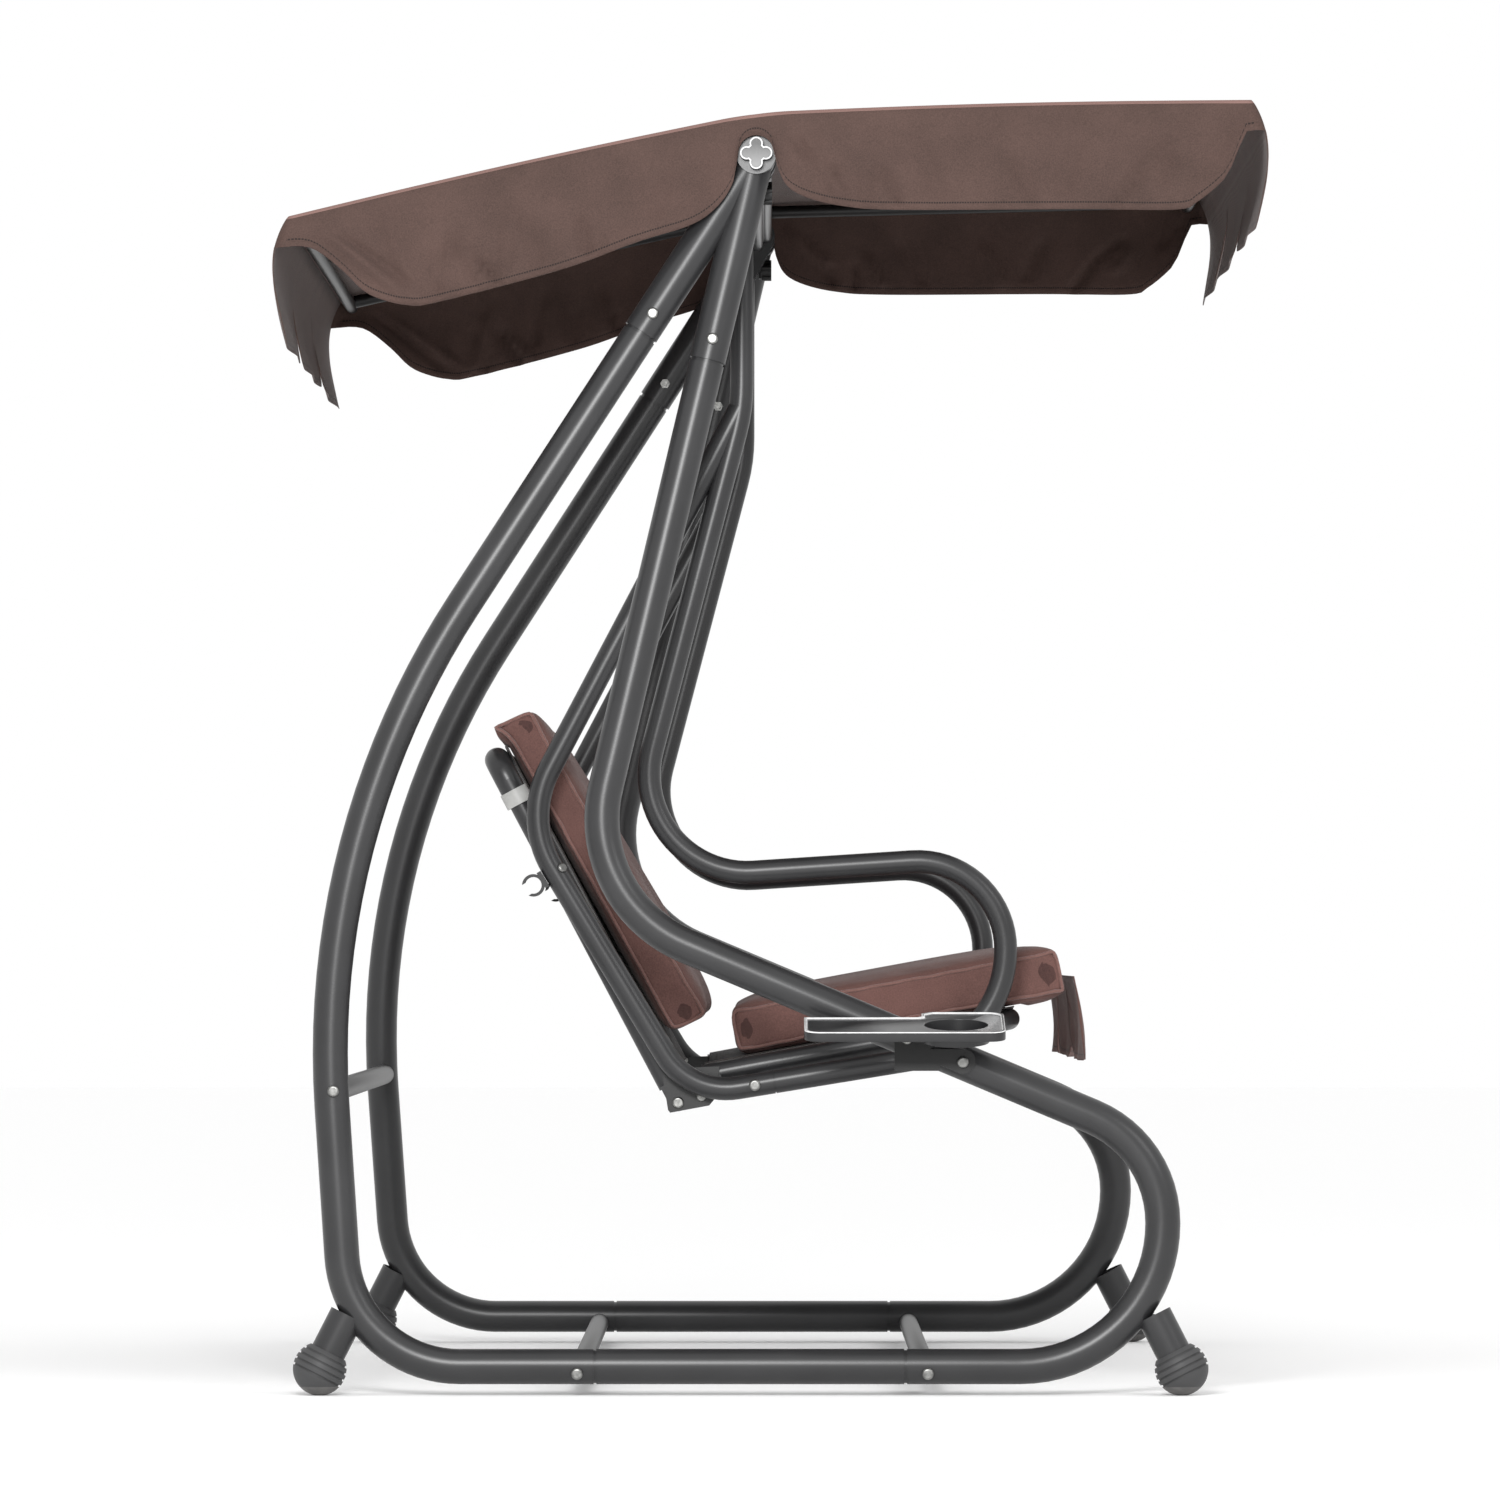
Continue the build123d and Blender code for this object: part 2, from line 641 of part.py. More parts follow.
# ---- Side loops: each is a front and a rear bent tube under a swing eye -----------------
loop_plane = Plane(origin=(0, RIGHT * loop_half, 0), x_dir=(1, 0, 0), z_dir=(0, -1, 0))
eye_r = 13.0
eye_length = 34.0
bush_r = 8.0
bush_gap = 0.1
bush_flange = 1.2
bush_end = 0.5              # from an ear to the bush
seat_rise = (loop_front[1] - loop_rear[1]) / (loop_front[0] - loop_rear[0])
join = (loop_join_x, loop_rear[1] + (loop_join_x - loop_rear[0]) * seat_rise)
join_gap = 1.0
front_loop_end = beyond(join, loop_front, join_gap / 2)
rear_loop_end = beyond(join, loop_rear, join_gap / 2)
eye_place = (pivot_x, RIGHT * loop_half, pivot_z)
seat_bar_rear = (seat_bar_rear_x, loop_rear[1] + (seat_bar_rear_x - loop_rear[0]) * seat_rise)
corner_way = atan2(loop_front[1] - loop_rear[1], loop_front[0] - loop_rear[0])
corner_centre_x = loop_front[0] - loop_front_r
corner_tangent = loop_front_r * tan((radians(90) - corner_way) / 2)
corner_centre_z = loop_front[1] + corner_tangent
seat_bar_front = (
    seat_bar_front_x,
    corner_centre_z - (loop_front_r ** 2 - (seat_bar_front_x - corner_centre_x) ** 2) ** 0.5,
)
loop_bolts = [(x, RIGHT * loop_half, z) for x, z in (seat_bar_rear, seat_bar_front)]
front_loop_points = [
    (pivot_x, pivot_z),
    hanger_bend,
    arm_rear,
    arm_front,
    loop_front,
    front_loop_end,
]
front_loop_radii = [hanger_bend_r, arm_rear_r, arm_front_r, loop_front_r]
with BuildPart() as front_loop:
    add(bent_tube(loop_plane, front_loop_points, front_loop_radii, loop_r, loop_r - loop_wall))
    eye_start = Plane(origin=(pivot_x, -loop_half - eye_length / 2, pivot_z), z_dir=(0, 1, 0))
    with BuildSketch(eye_start):
        Circle(eye_r)
    extrude(amount=eye_length)
    with BuildSketch(Plane.XY.offset(pivot_z + 2)):
        with Locations((pivot_x, -loop_half)):
            Rectangle(4 * loop_r, 4 * loop_r)
            Rectangle(4 * loop_r, eye_length, mode=Mode.SUBTRACT)
    extrude(amount=2 * loop_r, mode=Mode.SUBTRACT)
    add(side_hole([eye_place], bush_r + bush_gap), mode=Mode.SUBTRACT)
    add(side_hole(loop_bolts[1:], bolt_hole_r), mode=Mode.SUBTRACT)
export_pair("front_loop", front_loop.part)

rear_loop_points = [
    (hanger_bend[0] - 1.0, hanger_bend[1] + 4.0),
    back_bend,
    loop_rear,
    rear_loop_end,
]
loop_neck_r = loop_r - loop_wall - fit_gap
loop_neck_length = 20.0
clip_z = 712.0
clip_bolt_x = back_bend[0] + (back_bend[1] - clip_z) * (
    (loop_rear[0] - back_bend[0]) / (back_bend[1] - loop_rear[1]))
rear_way = atan2(loop_rear[0] - back_bend[0], back_bend[1] - loop_rear[1])
clip_screw_turn = radians(45)       # the screw stands between outwards and forwards
clip_screw_r = 2.5


def clip_screw_plane(side):
    """A plane on a rear loop's surface, where the screw of its clip goes in."""
    way = Vector(cos(rear_way) * sin(clip_screw_turn), side * cos(clip_screw_turn),
                 sin(rear_way) * sin(clip_screw_turn))
    axis_point = Vector(clip_bolt_x, side * loop_half, clip_z)
    return Plane(origin=axis_point + way * (loop_r + under_gap), z_dir=way)


with BuildPart() as rear_loop:
    add(bent_tube(loop_plane, rear_loop_points, [back_bend_r, loop_rear_r], loop_r,
                  loop_r - loop_wall))
    add(bent_tube(loop_plane, front_loop_points[:3] + [(0, 713.0)],
                  front_loop_radii[:2], loop_r, 0), mode=Mode.SUBTRACT)
    add(swaged_end(loop_plane, rear_loop_end, loop_front, loop_r,
                   loop_neck_r, loop_wall, loop_neck_length))
    add(side_hole(loop_bolts[:1], bolt_hole_r), mode=Mode.SUBTRACT)
    with BuildSketch(clip_screw_plane(RIGHT)):
        Circle(clip_screw_r + fit_gap)
    extrude(amount=-loop_r, mode=Mode.SUBTRACT)
rear_loop_tube = rear_loop.solids().sort_by(SortBy.VOLUME)[-1]
export_pair("rear_loop", rear_loop_tube)

with BuildPart() as pivot_bushes:
    for side in (1, -1):
        start = Plane(origin=(pivot_x, side * loop_half - ear_gap / 2 + bush_end, pivot_z),
                      z_dir=(0, 1, 0))
        with BuildSketch(start):
            Circle(bush_r)
            Circle(pivot_bolt_r + running_gap, mode=Mode.SUBTRACT)
        extrude(amount=ear_gap - 2 * bush_end)
        for flange in (0, ear_gap - 2 * bush_end - bush_flange):
            with BuildSketch(start.offset(flange)):
                Circle(eye_r - 1)
                Circle(pivot_bolt_r + running_gap, mode=Mode.SUBTRACT)
            extrude(amount=bush_flange)
pivot_bushes.part.label = "pivot_bushes"
export_step(pivot_bushes.part, "parts/pivot_bushes.step")

# ---- Seat: hoop, two bars across the loops, sling, cushion and skirt --------------------
seat_plane = Plane(
    origin=(seat_origin[0], 0, seat_origin[1]),
    x_dir=(cos(seat_slope), 0, sin(seat_slope)),
    z_dir=(-sin(seat_slope), 0, cos(seat_slope)),
)
hoop_points = [
    (0, -rail_half),
    (seat_length, -rail_half),
    (seat_length, rail_half),
    (0, rail_half),
]
hoop_lug_y = 716.4
hoop_lug_thick = 7.0
hoop_lug_r = 11.0
plate_bolt_x = -95.0
plate_bolt_z = 402.0
with BuildPart() as seat_hoop:
    with BuildSketch(Plane(origin=(0, -hoop_lug_y, 0), x_dir=(1, 0, 0), z_dir=(0, -1, 0))):
        with Locations((plate_bolt_x, plate_bolt_z), (seat_origin[0] + 14, seat_origin[1] - 4)):
            Circle(hoop_lug_r)
        make_hull()
    extrude(amount=hoop_lug_thick)
    mirror(about=Plane.XZ)
    rod = bent_tube(seat_plane, hoop_points, [seat_corner_r] * 2, rail_r - rail_wall, 0)
    add(rod, mode=Mode.SUBTRACT)
    add(bent_tube(seat_plane, hoop_points, [seat_corner_r] * 2, rail_r, rail_r - rail_wall))
    for side in (1, -1):
        add(side_hole([(plate_bolt_x, side * hoop_lug_y, plate_bolt_z)], bolt_hole_r),
            mode=Mode.SUBTRACT)
seat_hoop.part.label = "seat_hoop"
export_step(seat_hoop.part, "parts/seat_hoop.step")

seat_bar_reach = loop_half - loop_r - clear
for name, place in (("rear_seat_bar", seat_bar_rear), ("front_seat_bar", seat_bar_front)):
    seat_bar = cross_tube(place[0], place[1], seat_bar_reach, seat_bar_od / 2, rail_wall)
    seat_bar.label = name
    export_step(seat_bar, f"parts/{name}.step")

sling_lift = rail_r + sling_gap
sling_width = 2 * rail_half - 4
with BuildPart() as seat_sling:
    with BuildSketch(seat_plane.offset(sling_lift)):
        with Locations((seat_length / 2 + 6, 0)):
            RectangleRounded(seat_length + 12, sling_width, seat_corner_r * 0.6)
    extrude(amount=sling_thick)
seat_sling.part.label = "seat_sling"
export_step(seat_sling.part, "parts/seat_sling.step")

pad_start = 42.0            # along the seat, from its rear end
pad_end = 524.0
pad_lift = sling_lift + sling_thick + sling_gap
with BuildPart() as seat_cushion:
    with BuildSketch(seat_plane.offset(pad_lift)):
        with Locations(((pad_start + pad_end) / 2, 0)):
            Rectangle(pad_end - pad_start, 2 * cushion_half)
    extrude(amount=seat_pad_thick)
    fillet(seat_cushion.edges().filter_by(Axis.Y), radius=pad_edge_r)
seat_cushion.part.label = "seat_cushion"
export_step(seat_cushion.part, "parts/seat_cushion.step")

skirt_drop = 118.0
skirt_rise = 26.0           # its top edge stands this far above the cushion's underside
skirt_thick = 4.0
with BuildPart() as seat_skirt:
    skirt_top = seat_plane.from_local_coords(Vector(pad_end + 1.0, 0, pad_lift + skirt_rise))
    skirt_face = Plane(origin=skirt_top, x_dir=(0, 1, 0), z_dir=(1, 0, 0.12))
    with BuildSketch(skirt_face):
        with Locations((0, -skirt_drop / 2)):
            Rectangle(2 * cushion_half - 8, skirt_drop)
    extrude(amount=skirt_thick)
seat_skirt.part.label = "seat_skirt"
export_step(seat_skirt.part, "parts/seat_skirt.step")

# ---- Hinge plates, stop pins and backrest bolts -------------------------------------------
plate_inner = 724.4
plate_thick = 3.6
plate_hole_gap = 1.0
plate_outline = (
    (-150.0, 441.0),
    (-141.0, 384.0),
    (-138.0, 380.0),
    (-84.0, 390.0),
    (-74.0, 402.0),
    (-70.0, 444.0),
)
stop_place = (-128.2, RIGHT * plate_inner, 437.0)
plate_bolt_place = (plate_bolt_x, RIGHT * plate_inner, plate_bolt_z)
recline_place = (recline_x, RIGHT * plate_inner, recline_z)
with BuildPart() as hinge_plates:
    with BuildSketch(Plane(origin=(0, -plate_inner, 0), x_dir=(1, 0, 0), z_dir=(0, -1, 0))):
        with BuildLine():
            Polyline(*plate_outline, close=True)
        make_face()
    extrude(amount=plate_thick)
    add(side_hole([plate_bolt_place, recline_place], bolt_hole_r + plate_hole_gap), mode=Mode.SUBTRACT)
    mirror(about=Plane.XZ)
hinge_plates.part.label = "hinge_plates"
export_step(hinge_plates.part, "parts/hinge_plates.step")

# ---- Backrest: two lower rails with hinge eyes, the hoop above them, sling and cushion ----
back_plane = Plane(
    origin=(recline_x, 0, recline_z),
    x_dir=(-sin(back_slope), 0, cos(back_slope)),
    z_dir=(cos(back_slope), 0, sin(back_slope)),
)
right_rail = Plane(origin=(recline_x, -rail_half, recline_z), x_dir=(0, 1, 0),
                   z_dir=(-sin(back_slope), 0, cos(back_slope)))
lug_thick = 7.0
lug_width = 24.0
lug_rise = 26.0
cap_start = collar_start + collar_length
cap_neck = 14.0
with BuildPart() as backrest_rail:
    with BuildSketch(right_rail.offset(lug_rise)):
        Circle(rail_r)
        Circle(rail_r - rail_wall, mode=Mode.SUBTRACT)
    extrude(amount=cap_start + cap_neck - lug_rise)
    with BuildSketch(right_rail.offset(lug_rise)):
        Circle(rail_r)
    extrude(amount=4)
    lug_inner = -plate_inner + clear
    with BuildSketch(Plane(origin=(recline_x, lug_inner, recline_z), x_dir=back_plane.x_dir,
                           z_dir=(0, 1, 0))):
        Circle(lug_width / 2)
        with Locations((lug_rise / 2 + 2, 0)):
            Rectangle(lug_rise + 4, lug_width)
        Circle(hinge_pin_r + running_gap, mode=Mode.SUBTRACT)
    extrude(amount=lug_thick)
export_pair("backrest_rail", backrest_rail.part)

cap_corner_r = 31.0
collar_proud = 2.0          # the collars stand this far out of the hoop
cap_points = [
    (cap_start, -rail_half),
    (back_length, -rail_half),
    (back_length, rail_half),
    (cap_start, rail_half),
]
backrest_hoop = bent_tube(back_plane, cap_points, [cap_corner_r] * 2, cap_od / 2,
                          rail_r + fit_gap)
backrest_hoop.label = "backrest_hoop"
export_step(backrest_hoop, "parts/backrest_hoop.step")

with BuildPart() as backrest_collars:
    with BuildSketch(right_rail.offset(collar_start)):
        Circle(cap_od / 2 + collar_proud)
        Circle(rail_r + fit_gap, mode=Mode.SUBTRACT)
    extrude(amount=collar_length)
    mirror(about=Plane.XZ)
backrest_collars.part.label = "backrest_collars"
export_step(backrest_collars.part, "parts/backrest_collars.step")

back_lift = cap_od / 2 + collar_proud + sling_gap
with BuildPart() as backrest_sling:
    with BuildSketch(back_plane.offset(back_lift)):
        with Locations((back_length / 2 + 26, 0)):
            Rectangle(back_length - 20, sling_width)
    extrude(amount=sling_thick)
backrest_sling.part.label = "backrest_sling"
export_step(backrest_sling.part, "parts/backrest_sling.step")

back_pad_outline = (        # (along the backrest, in front of its rails)
    (80.0, 34.0),
    (556.0, 22.8),
    (590.0, 6.0),
    (586.0, 78.0),
    (78.0, 99.0),
)
back_side = Plane(origin=(recline_x, -cushion_half, recline_z), x_dir=back_plane.x_dir,
                  z_dir=(0, 1, 0))
with BuildPart() as back_cushion:
    with BuildSketch(back_side):
        with BuildLine():
            Polyline(*back_pad_outline, close=True)
        make_face()
    extrude(amount=2 * cushion_half)
    fillet(back_cushion.edges().filter_by(Axis.Y), radius=pad_edge_r)
back_cushion.part.label = "back_cushion"
export_step(back_cushion.part, "parts/back_cushion.step")

# ---- Snap clips on the rear loops, and the seat's own fasteners ----------------------------
clip_inner_r = 11.5
clip_wall = 4.0
clip_width = 20.0
clip_stem = 12.0
clip_out = Vector(-cos(rear_way), 0, -sin(rear_way))
clip_seat = Vector(clip_bolt_x, -loop_half, clip_z) + clip_out * (loop_r + strap_gap)
clip_centre = clip_seat + clip_out * (clip_inner_r + clip_wall + 3)
with BuildPart() as snap_clips:
    clip_side = Plane(origin=clip_centre - Vector(0, clip_width / 2, 0),
                      x_dir=clip_out, z_dir=(0, 1, 0))
    with BuildSketch(clip_side):
        Circle(clip_inner_r + clip_wall)
        with Locations((-clip_inner_r - clip_wall, 0)):
            Rectangle(clip_wall + 2, 2 * clip_stem)
        Circle(clip_inner_r, mode=Mode.SUBTRACT)
        with Locations((clip_inner_r + 2, 0)):
            Rectangle(2 * clip_inner_r, 1.5 * clip_inner_r, mode=Mode.SUBTRACT)
    extrude(amount=clip_width)
    mirror(about=Plane.XZ)
snap_clips.part.label = "snap_clips"
export_step(snap_clips.part, "parts/snap_clips.step")

hinge_nut_height = 6.0
hinge_grip = 8.2            # from the plate's inner face to the nut
stop_length = 13.8
stop_r = 4.0
loop_bolt = domed_bolt(bolt_d / 2, 54, head_r, head_height)
plate_bolt = domed_bolt(bolt_d / 2, 12, 6.5, 3.6)
hinge_bolt = domed_bolt(hinge_pin_r, 20, head_r, 4.2)
hinge_nut = hex_nut(16, hinge_pin_r + thread_gap, hinge_nut_height)
clip_screw = domed_bolt(clip_screw_r, 12, 7.0, 3.4)
with BuildPart() as seat_bolts:
    for side in (1, -1):
        for x, y, z in loop_bolts:
            face = outward(x, -side * y, z).offset(loop_r + fit_gap)
            add(face.location * loop_bolt)
        x, y, z = plate_bolt_place
        face = outward(x, -side * y, z).offset(plate_thick + fit_gap)
        add(face.location * plate_bolt)
        x, y, z = recline_place
        face = outward(x, -side * y, z).offset(plate_thick + fit_gap)
        add(face.location * hinge_bolt)
        inside = outward(x, -side * y, z).offset(-hinge_grip - hinge_nut_height)
        add(inside.location * hinge_nut)
        add(clip_screw_plane(side).location * clip_screw)
        x, y, z = stop_place
        with BuildSketch(outward(x, -side * y, z).offset(-stop_length - fit_gap)):
            Circle(stop_r)
        extrude(amount=stop_length)
seat_bolts.part.label = "seat_bolts"
export_step(seat_bolts.part, "parts/seat_bolts.step")

# ---- Canopy frame: two arms over the beam, cross tubes at the ends, clamps and knobs ------
canopy_r = canopy_tube_od / 2
canopy_wall = 1.2
arm_bend_r = 160.0
clamp_bore = lobe_reach + 0.08
clamp_r = 24.6
clamp_width = 26.0
cloth_clear = 0.6
arm_ridge = (beam_x, ridge_z - cloth - cloth_clear - canopy_r)
rear_drop = (cloth + cloth_clear + canopy_r)
rear_tube_place = (rear_edge[0] + 13.0, rear_edge[1] - rear_drop + 3.0)
front_tube_place = (front_edge[0] - 13.0, front_edge[1] - rear_drop - 0.4)
arm_plane = Plane(origin=(0, RIGHT * arm_half, 0), x_dir=(1, 0, 0), z_dir=(0, -1, 0))
arm_points = [
    beyond(rear_tube_place, arm_ridge, canopy_r - 1),
    arm_ridge,
    beyond(front_tube_place, arm_ridge, canopy_r - 1),
]
arm = bent_tube(arm_plane, arm_points, [arm_bend_r], canopy_r, canopy_r - canopy_wall)
arm_rod = bent_tube(arm_plane, arm_points, [arm_bend_r], canopy_r, 0)
with BuildPart() as canopy_arm:
    add(arm)
    for place in (rear_tube_place, front_tube_place):
        with BuildSketch(Plane(origin=(place[0], -canopy_half, place[1]), z_dir=(0, 1, 0))):
            Circle(canopy_r)
        extrude(amount=2 * canopy_half, mode=Mode.SUBTRACT)
export_pair("canopy_arm", canopy_arm.part)

canopy_tube_reach = canopy_half - 8
for name, place in (("canopy_rear_tube", rear_tube_place), ("canopy_front_tube", front_tube_place)):
    with BuildPart() as canopy_tube:
        start = Plane(origin=(place[0], -canopy_tube_reach, place[1]), z_dir=(0, 1, 0))
        with BuildSketch(start):
            Circle(canopy_r)
            Circle(canopy_r - canopy_wall, mode=Mode.SUBTRACT)
        extrude(amount=2 * canopy_tube_reach)
    canopy_tube.part.label = name
    export_step(canopy_tube.part, f"parts/{name}.step")

clamp_ear_drop = 60.0       # from the beam's axis to the end of the clamp's ears
clamp_ear_thick = 4.0
clamp_slot = 5.0
knob_drop = 48.0
stud_r = 3.0
with BuildPart() as canopy_clamp:
    start = Plane(origin=(beam_x, -arm_half - clamp_width / 2, beam_z), x_dir=(1, 0, 0),
                  z_dir=(0, 1, 0))
    with BuildSketch(start):
        Circle(clamp_r + 1.5)
        with Locations((0, clamp_ear_drop / 2)):
            Rectangle(2 * clamp_ear_thick + clamp_slot, clamp_ear_drop)
        with Locations((0, (beam_z - arm_ridge[1]) / 2)):
            Rectangle(18, arm_ridge[1] - beam_z)
        with Locations((0, clamp_ear_drop / 2 + 5)):
            Rectangle(clamp_slot, clamp_ear_drop + 10, mode=Mode.SUBTRACT)
        Circle(clamp_bore, mode=Mode.SUBTRACT)
    extrude(amount=clamp_width)
    add(arm_rod, mode=Mode.SUBTRACT)
    with BuildSketch(Plane.XY.offset(arm_ridge[1])):
        with Locations((beam_x, -arm_half)):
            Rectangle(4 * clamp_width, 4 * clamp_width)
    extrude(amount=clamp_width, mode=Mode.SUBTRACT)
    knob_axis = Plane(origin=(beam_x - clamp_r, -arm_half, beam_z - knob_drop), z_dir=(1, 0, 0))
    with BuildSketch(knob_axis):
        Circle(stud_r + fit_gap)
    extrude(amount=2 * clamp_r, mode=Mode.SUBTRACT)
export_pair("canopy_clamp", canopy_clamp.part)

knob_r = 17.0
knob_length = 15.0
knob_face = beam_x + clamp_slot / 2 + clamp_ear_thick + 0.3
with BuildPart() as clamp_knob:
    with BuildSketch(Plane(origin=(knob_face, -arm_half, beam_z - knob_drop), z_dir=(1, 0, 0))):
        Circle(knob_r - 3)
        with PolarLocations(knob_r - 4, 5):
            Circle(4)
    extrude(amount=knob_length)
    with BuildSketch(Plane(origin=(knob_face, -arm_half, beam_z - knob_drop), z_dir=(-1, 0, 0))):
        Circle(stud_r)
    extrude(amount=clamp_slot + 2 * clamp_ear_thick + 10)
export_pair("clamp_knob", clamp_knob.part)

clamp_nut = hex_nut(10, stud_r + 0.05, 5)
with BuildPart() as clamp_nuts:
    for side in (1, -1):
        back_face = beam_x - clamp_slot / 2 - clamp_ear_thick - 0.2
        spot = Plane(origin=(back_face, side * arm_half, beam_z - knob_drop), z_dir=(-1, 0, 0))
        add(spot.location * clamp_nut)
clamp_nuts.part.label = "clamp_nuts"
export_step(clamp_nuts.part, "parts/clamp_nuts.step")

# ---- Canopy cloth: two top panels, side flaps, and a valance of tabs at each end ----------
ridge = (beam_x, ridge_z)
top_side = Plane(origin=(0, -canopy_half, 0), x_dir=(1, 0, 0), z_dir=(0, -1, 0))
for name, edge in (("canopy_rear_panel", rear_edge), ("canopy_front_panel", front_edge)):
    with BuildPart() as panel:
        with BuildSketch(top_side):
            with BuildLine():
                Polyline(ridge, edge, (edge[0], edge[1] - cloth), (ridge[0], ridge[1] - cloth),
                         close=True)
            make_face()
        extrude(amount=-2 * canopy_half)
    panel.part.label = name
    export_step(panel.part, f"parts/{name}.step")

rear_flap_hem = (           # the lower edge of a side flap, from the rear corner to the beam
    (-655.0, 1563.0),
    (-614.0, 1559.0),
    (-556.0, 1506.0),
    (-496.0, 1486.0),
    (-287.0, 1535.0),
    (-109.0, 1595.0),
    (-56.0, 1645.0),
)
front_flap_hem = (          # the rest of it, from the beam to the front corner
    (21.0, 1651.0),
    (98.0, 1620.0),
    (560.0, 1616.0),
    (612.0, 1652.0),
    (643.0, 1724.0),
)
flap_gap = 0.2
notch_r = 25.5              # the flap's notch, which leaves the beam's end free
notch_sides = 8
flap_side = Plane(origin=(0, -canopy_half - flap_gap, 0), x_dir=(1, 0, 0), z_dir=(0, -1, 0))


def top_at(x):
    """Height of the canopy's top at x."""
    edge = rear_edge if x < beam_x else front_edge
    return ridge_z + (edge[1] - ridge_z) * (x - beam_x) / (edge[0] - beam_x)


notch = []
for step in range(notch_sides + 1):
    turn = radians(200 - 220 * step / notch_sides)
    notch.append((beam_x + notch_r * cos(turn), beam_z + notch_r * sin(turn)))
first = rear_flap_hem[0]
last = front_flap_hem[-1]
with BuildPart() as side_flaps:
    with BuildSketch(flap_side):
        with BuildLine():
            Polyline(*rear_flap_hem, *notch, *front_flap_hem, (last[0], top_at(last[0])),
                     ridge, (first[0], top_at(first[0])), close=True)
        make_face()
    extrude(amount=cloth)
    mirror(about=Plane.XZ)
side_flaps.part.label = "side_flaps"
export_step(side_flaps.part, "parts/side_flaps.step")

tab_width = 2 * canopy_half / tab_count
for name, edge, way in (("rear_valance", rear_edge, -1), ("front_valance", front_edge, 1)):
    hang = Plane(origin=(edge[0] + way * flap_gap, 0, edge[1]), x_dir=(0, way, 0),
                 z_dir=(way, 0, 0))
    with BuildPart() as valance:
        with BuildSketch(hang):
            with Locations((0, -valance_drop / 2)):
                Rectangle(2 * canopy_half, valance_drop)
            for tab in range(1, tab_count):
                slit_x = tab * tab_width - canopy_half
                with BuildLine():
                    Polyline((slit_x - slit_width / 2, -valance_drop),
                             (slit_x, slit_length - valance_drop),
                             (slit_x + slit_width / 2, -valance_drop), close=True)
                make_face(mode=Mode.SUBTRACT)
        extrude(amount=cloth)
        fillet(valance.edges().filter_by(Axis.X).group_by(Axis.Z)[0], radius=tab_corner_r)
    valance.part.label = name
    export_step(valance.part, f"parts/{name}.step")
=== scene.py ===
import math

import bmesh
import bpy
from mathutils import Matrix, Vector
from mathutils.bvhtree import BVHTree


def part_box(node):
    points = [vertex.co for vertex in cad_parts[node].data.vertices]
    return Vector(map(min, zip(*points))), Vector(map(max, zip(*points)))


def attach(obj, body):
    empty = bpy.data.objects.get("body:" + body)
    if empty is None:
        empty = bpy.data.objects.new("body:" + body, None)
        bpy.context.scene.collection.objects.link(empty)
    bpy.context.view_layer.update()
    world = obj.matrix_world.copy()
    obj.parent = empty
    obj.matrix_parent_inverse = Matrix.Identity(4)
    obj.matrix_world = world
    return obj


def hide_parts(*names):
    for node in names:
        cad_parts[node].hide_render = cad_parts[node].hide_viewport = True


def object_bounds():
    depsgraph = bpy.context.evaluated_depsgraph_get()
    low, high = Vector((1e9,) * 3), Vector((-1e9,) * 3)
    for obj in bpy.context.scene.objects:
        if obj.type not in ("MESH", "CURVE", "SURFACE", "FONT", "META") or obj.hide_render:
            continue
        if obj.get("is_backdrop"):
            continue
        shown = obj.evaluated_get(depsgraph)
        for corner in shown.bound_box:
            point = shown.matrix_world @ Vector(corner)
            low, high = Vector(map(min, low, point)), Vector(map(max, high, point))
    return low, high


# Looks of a three-seat garden swing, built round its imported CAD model. Metres; +X is the front.
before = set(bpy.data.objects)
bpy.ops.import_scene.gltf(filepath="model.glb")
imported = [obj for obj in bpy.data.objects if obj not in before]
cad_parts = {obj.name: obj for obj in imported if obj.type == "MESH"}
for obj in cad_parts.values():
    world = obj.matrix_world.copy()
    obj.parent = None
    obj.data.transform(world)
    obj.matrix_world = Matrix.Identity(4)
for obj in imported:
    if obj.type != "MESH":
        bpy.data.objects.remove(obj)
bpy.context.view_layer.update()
bpy.ops.object.select_all(action="DESELECT")

# ---- Camera, floor and light -------------------------------------------------------------
# A long lens at seat height looks along +Y at the swing's right side. The floor and the sky
# are white, and a soft light beside the camera draws a bright line down each near tube.
camera_data = bpy.data.cameras.new("camera")
camera = bpy.data.objects.new("camera", camera_data)
bpy.context.scene.collection.objects.link(camera)
camera_data.lens = 245.3
camera_data.sensor_width = 36.0
camera_data.clip_end = 100.0
camera.location = (-0.007, -14.85, 0.605)
camera.rotation_euler = (math.radians(91.12), 0, math.radians(0.084))
bpy.context.scene.camera = camera

bpy.ops.mesh.primitive_plane_add(size=60.0, location=(0, 0, 0))
floor = bpy.context.object
floor.name = "floor"
floor_paint = bpy.data.materials.new("floor_paint")
floor_paint.use_nodes = True
floor_shader = floor_paint.node_tree.nodes["Principled BSDF"]
floor_shader.inputs["Base Color"].default_value = (0.985, 0.985, 0.985, 1)
floor_shader.inputs["Roughness"].default_value = 0.9
floor.data.materials.append(floor_paint)
floor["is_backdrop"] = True

sky = bpy.data.worlds.new("sky")
sky.use_nodes = True
sky.node_tree.nodes["Background"].inputs["Color"].default_value = (1, 1, 1, 1)
sky.node_tree.nodes["Background"].inputs["Strength"].default_value = 1.0
bpy.context.scene.world = sky
bpy.context.scene.view_settings.view_transform = "Standard"

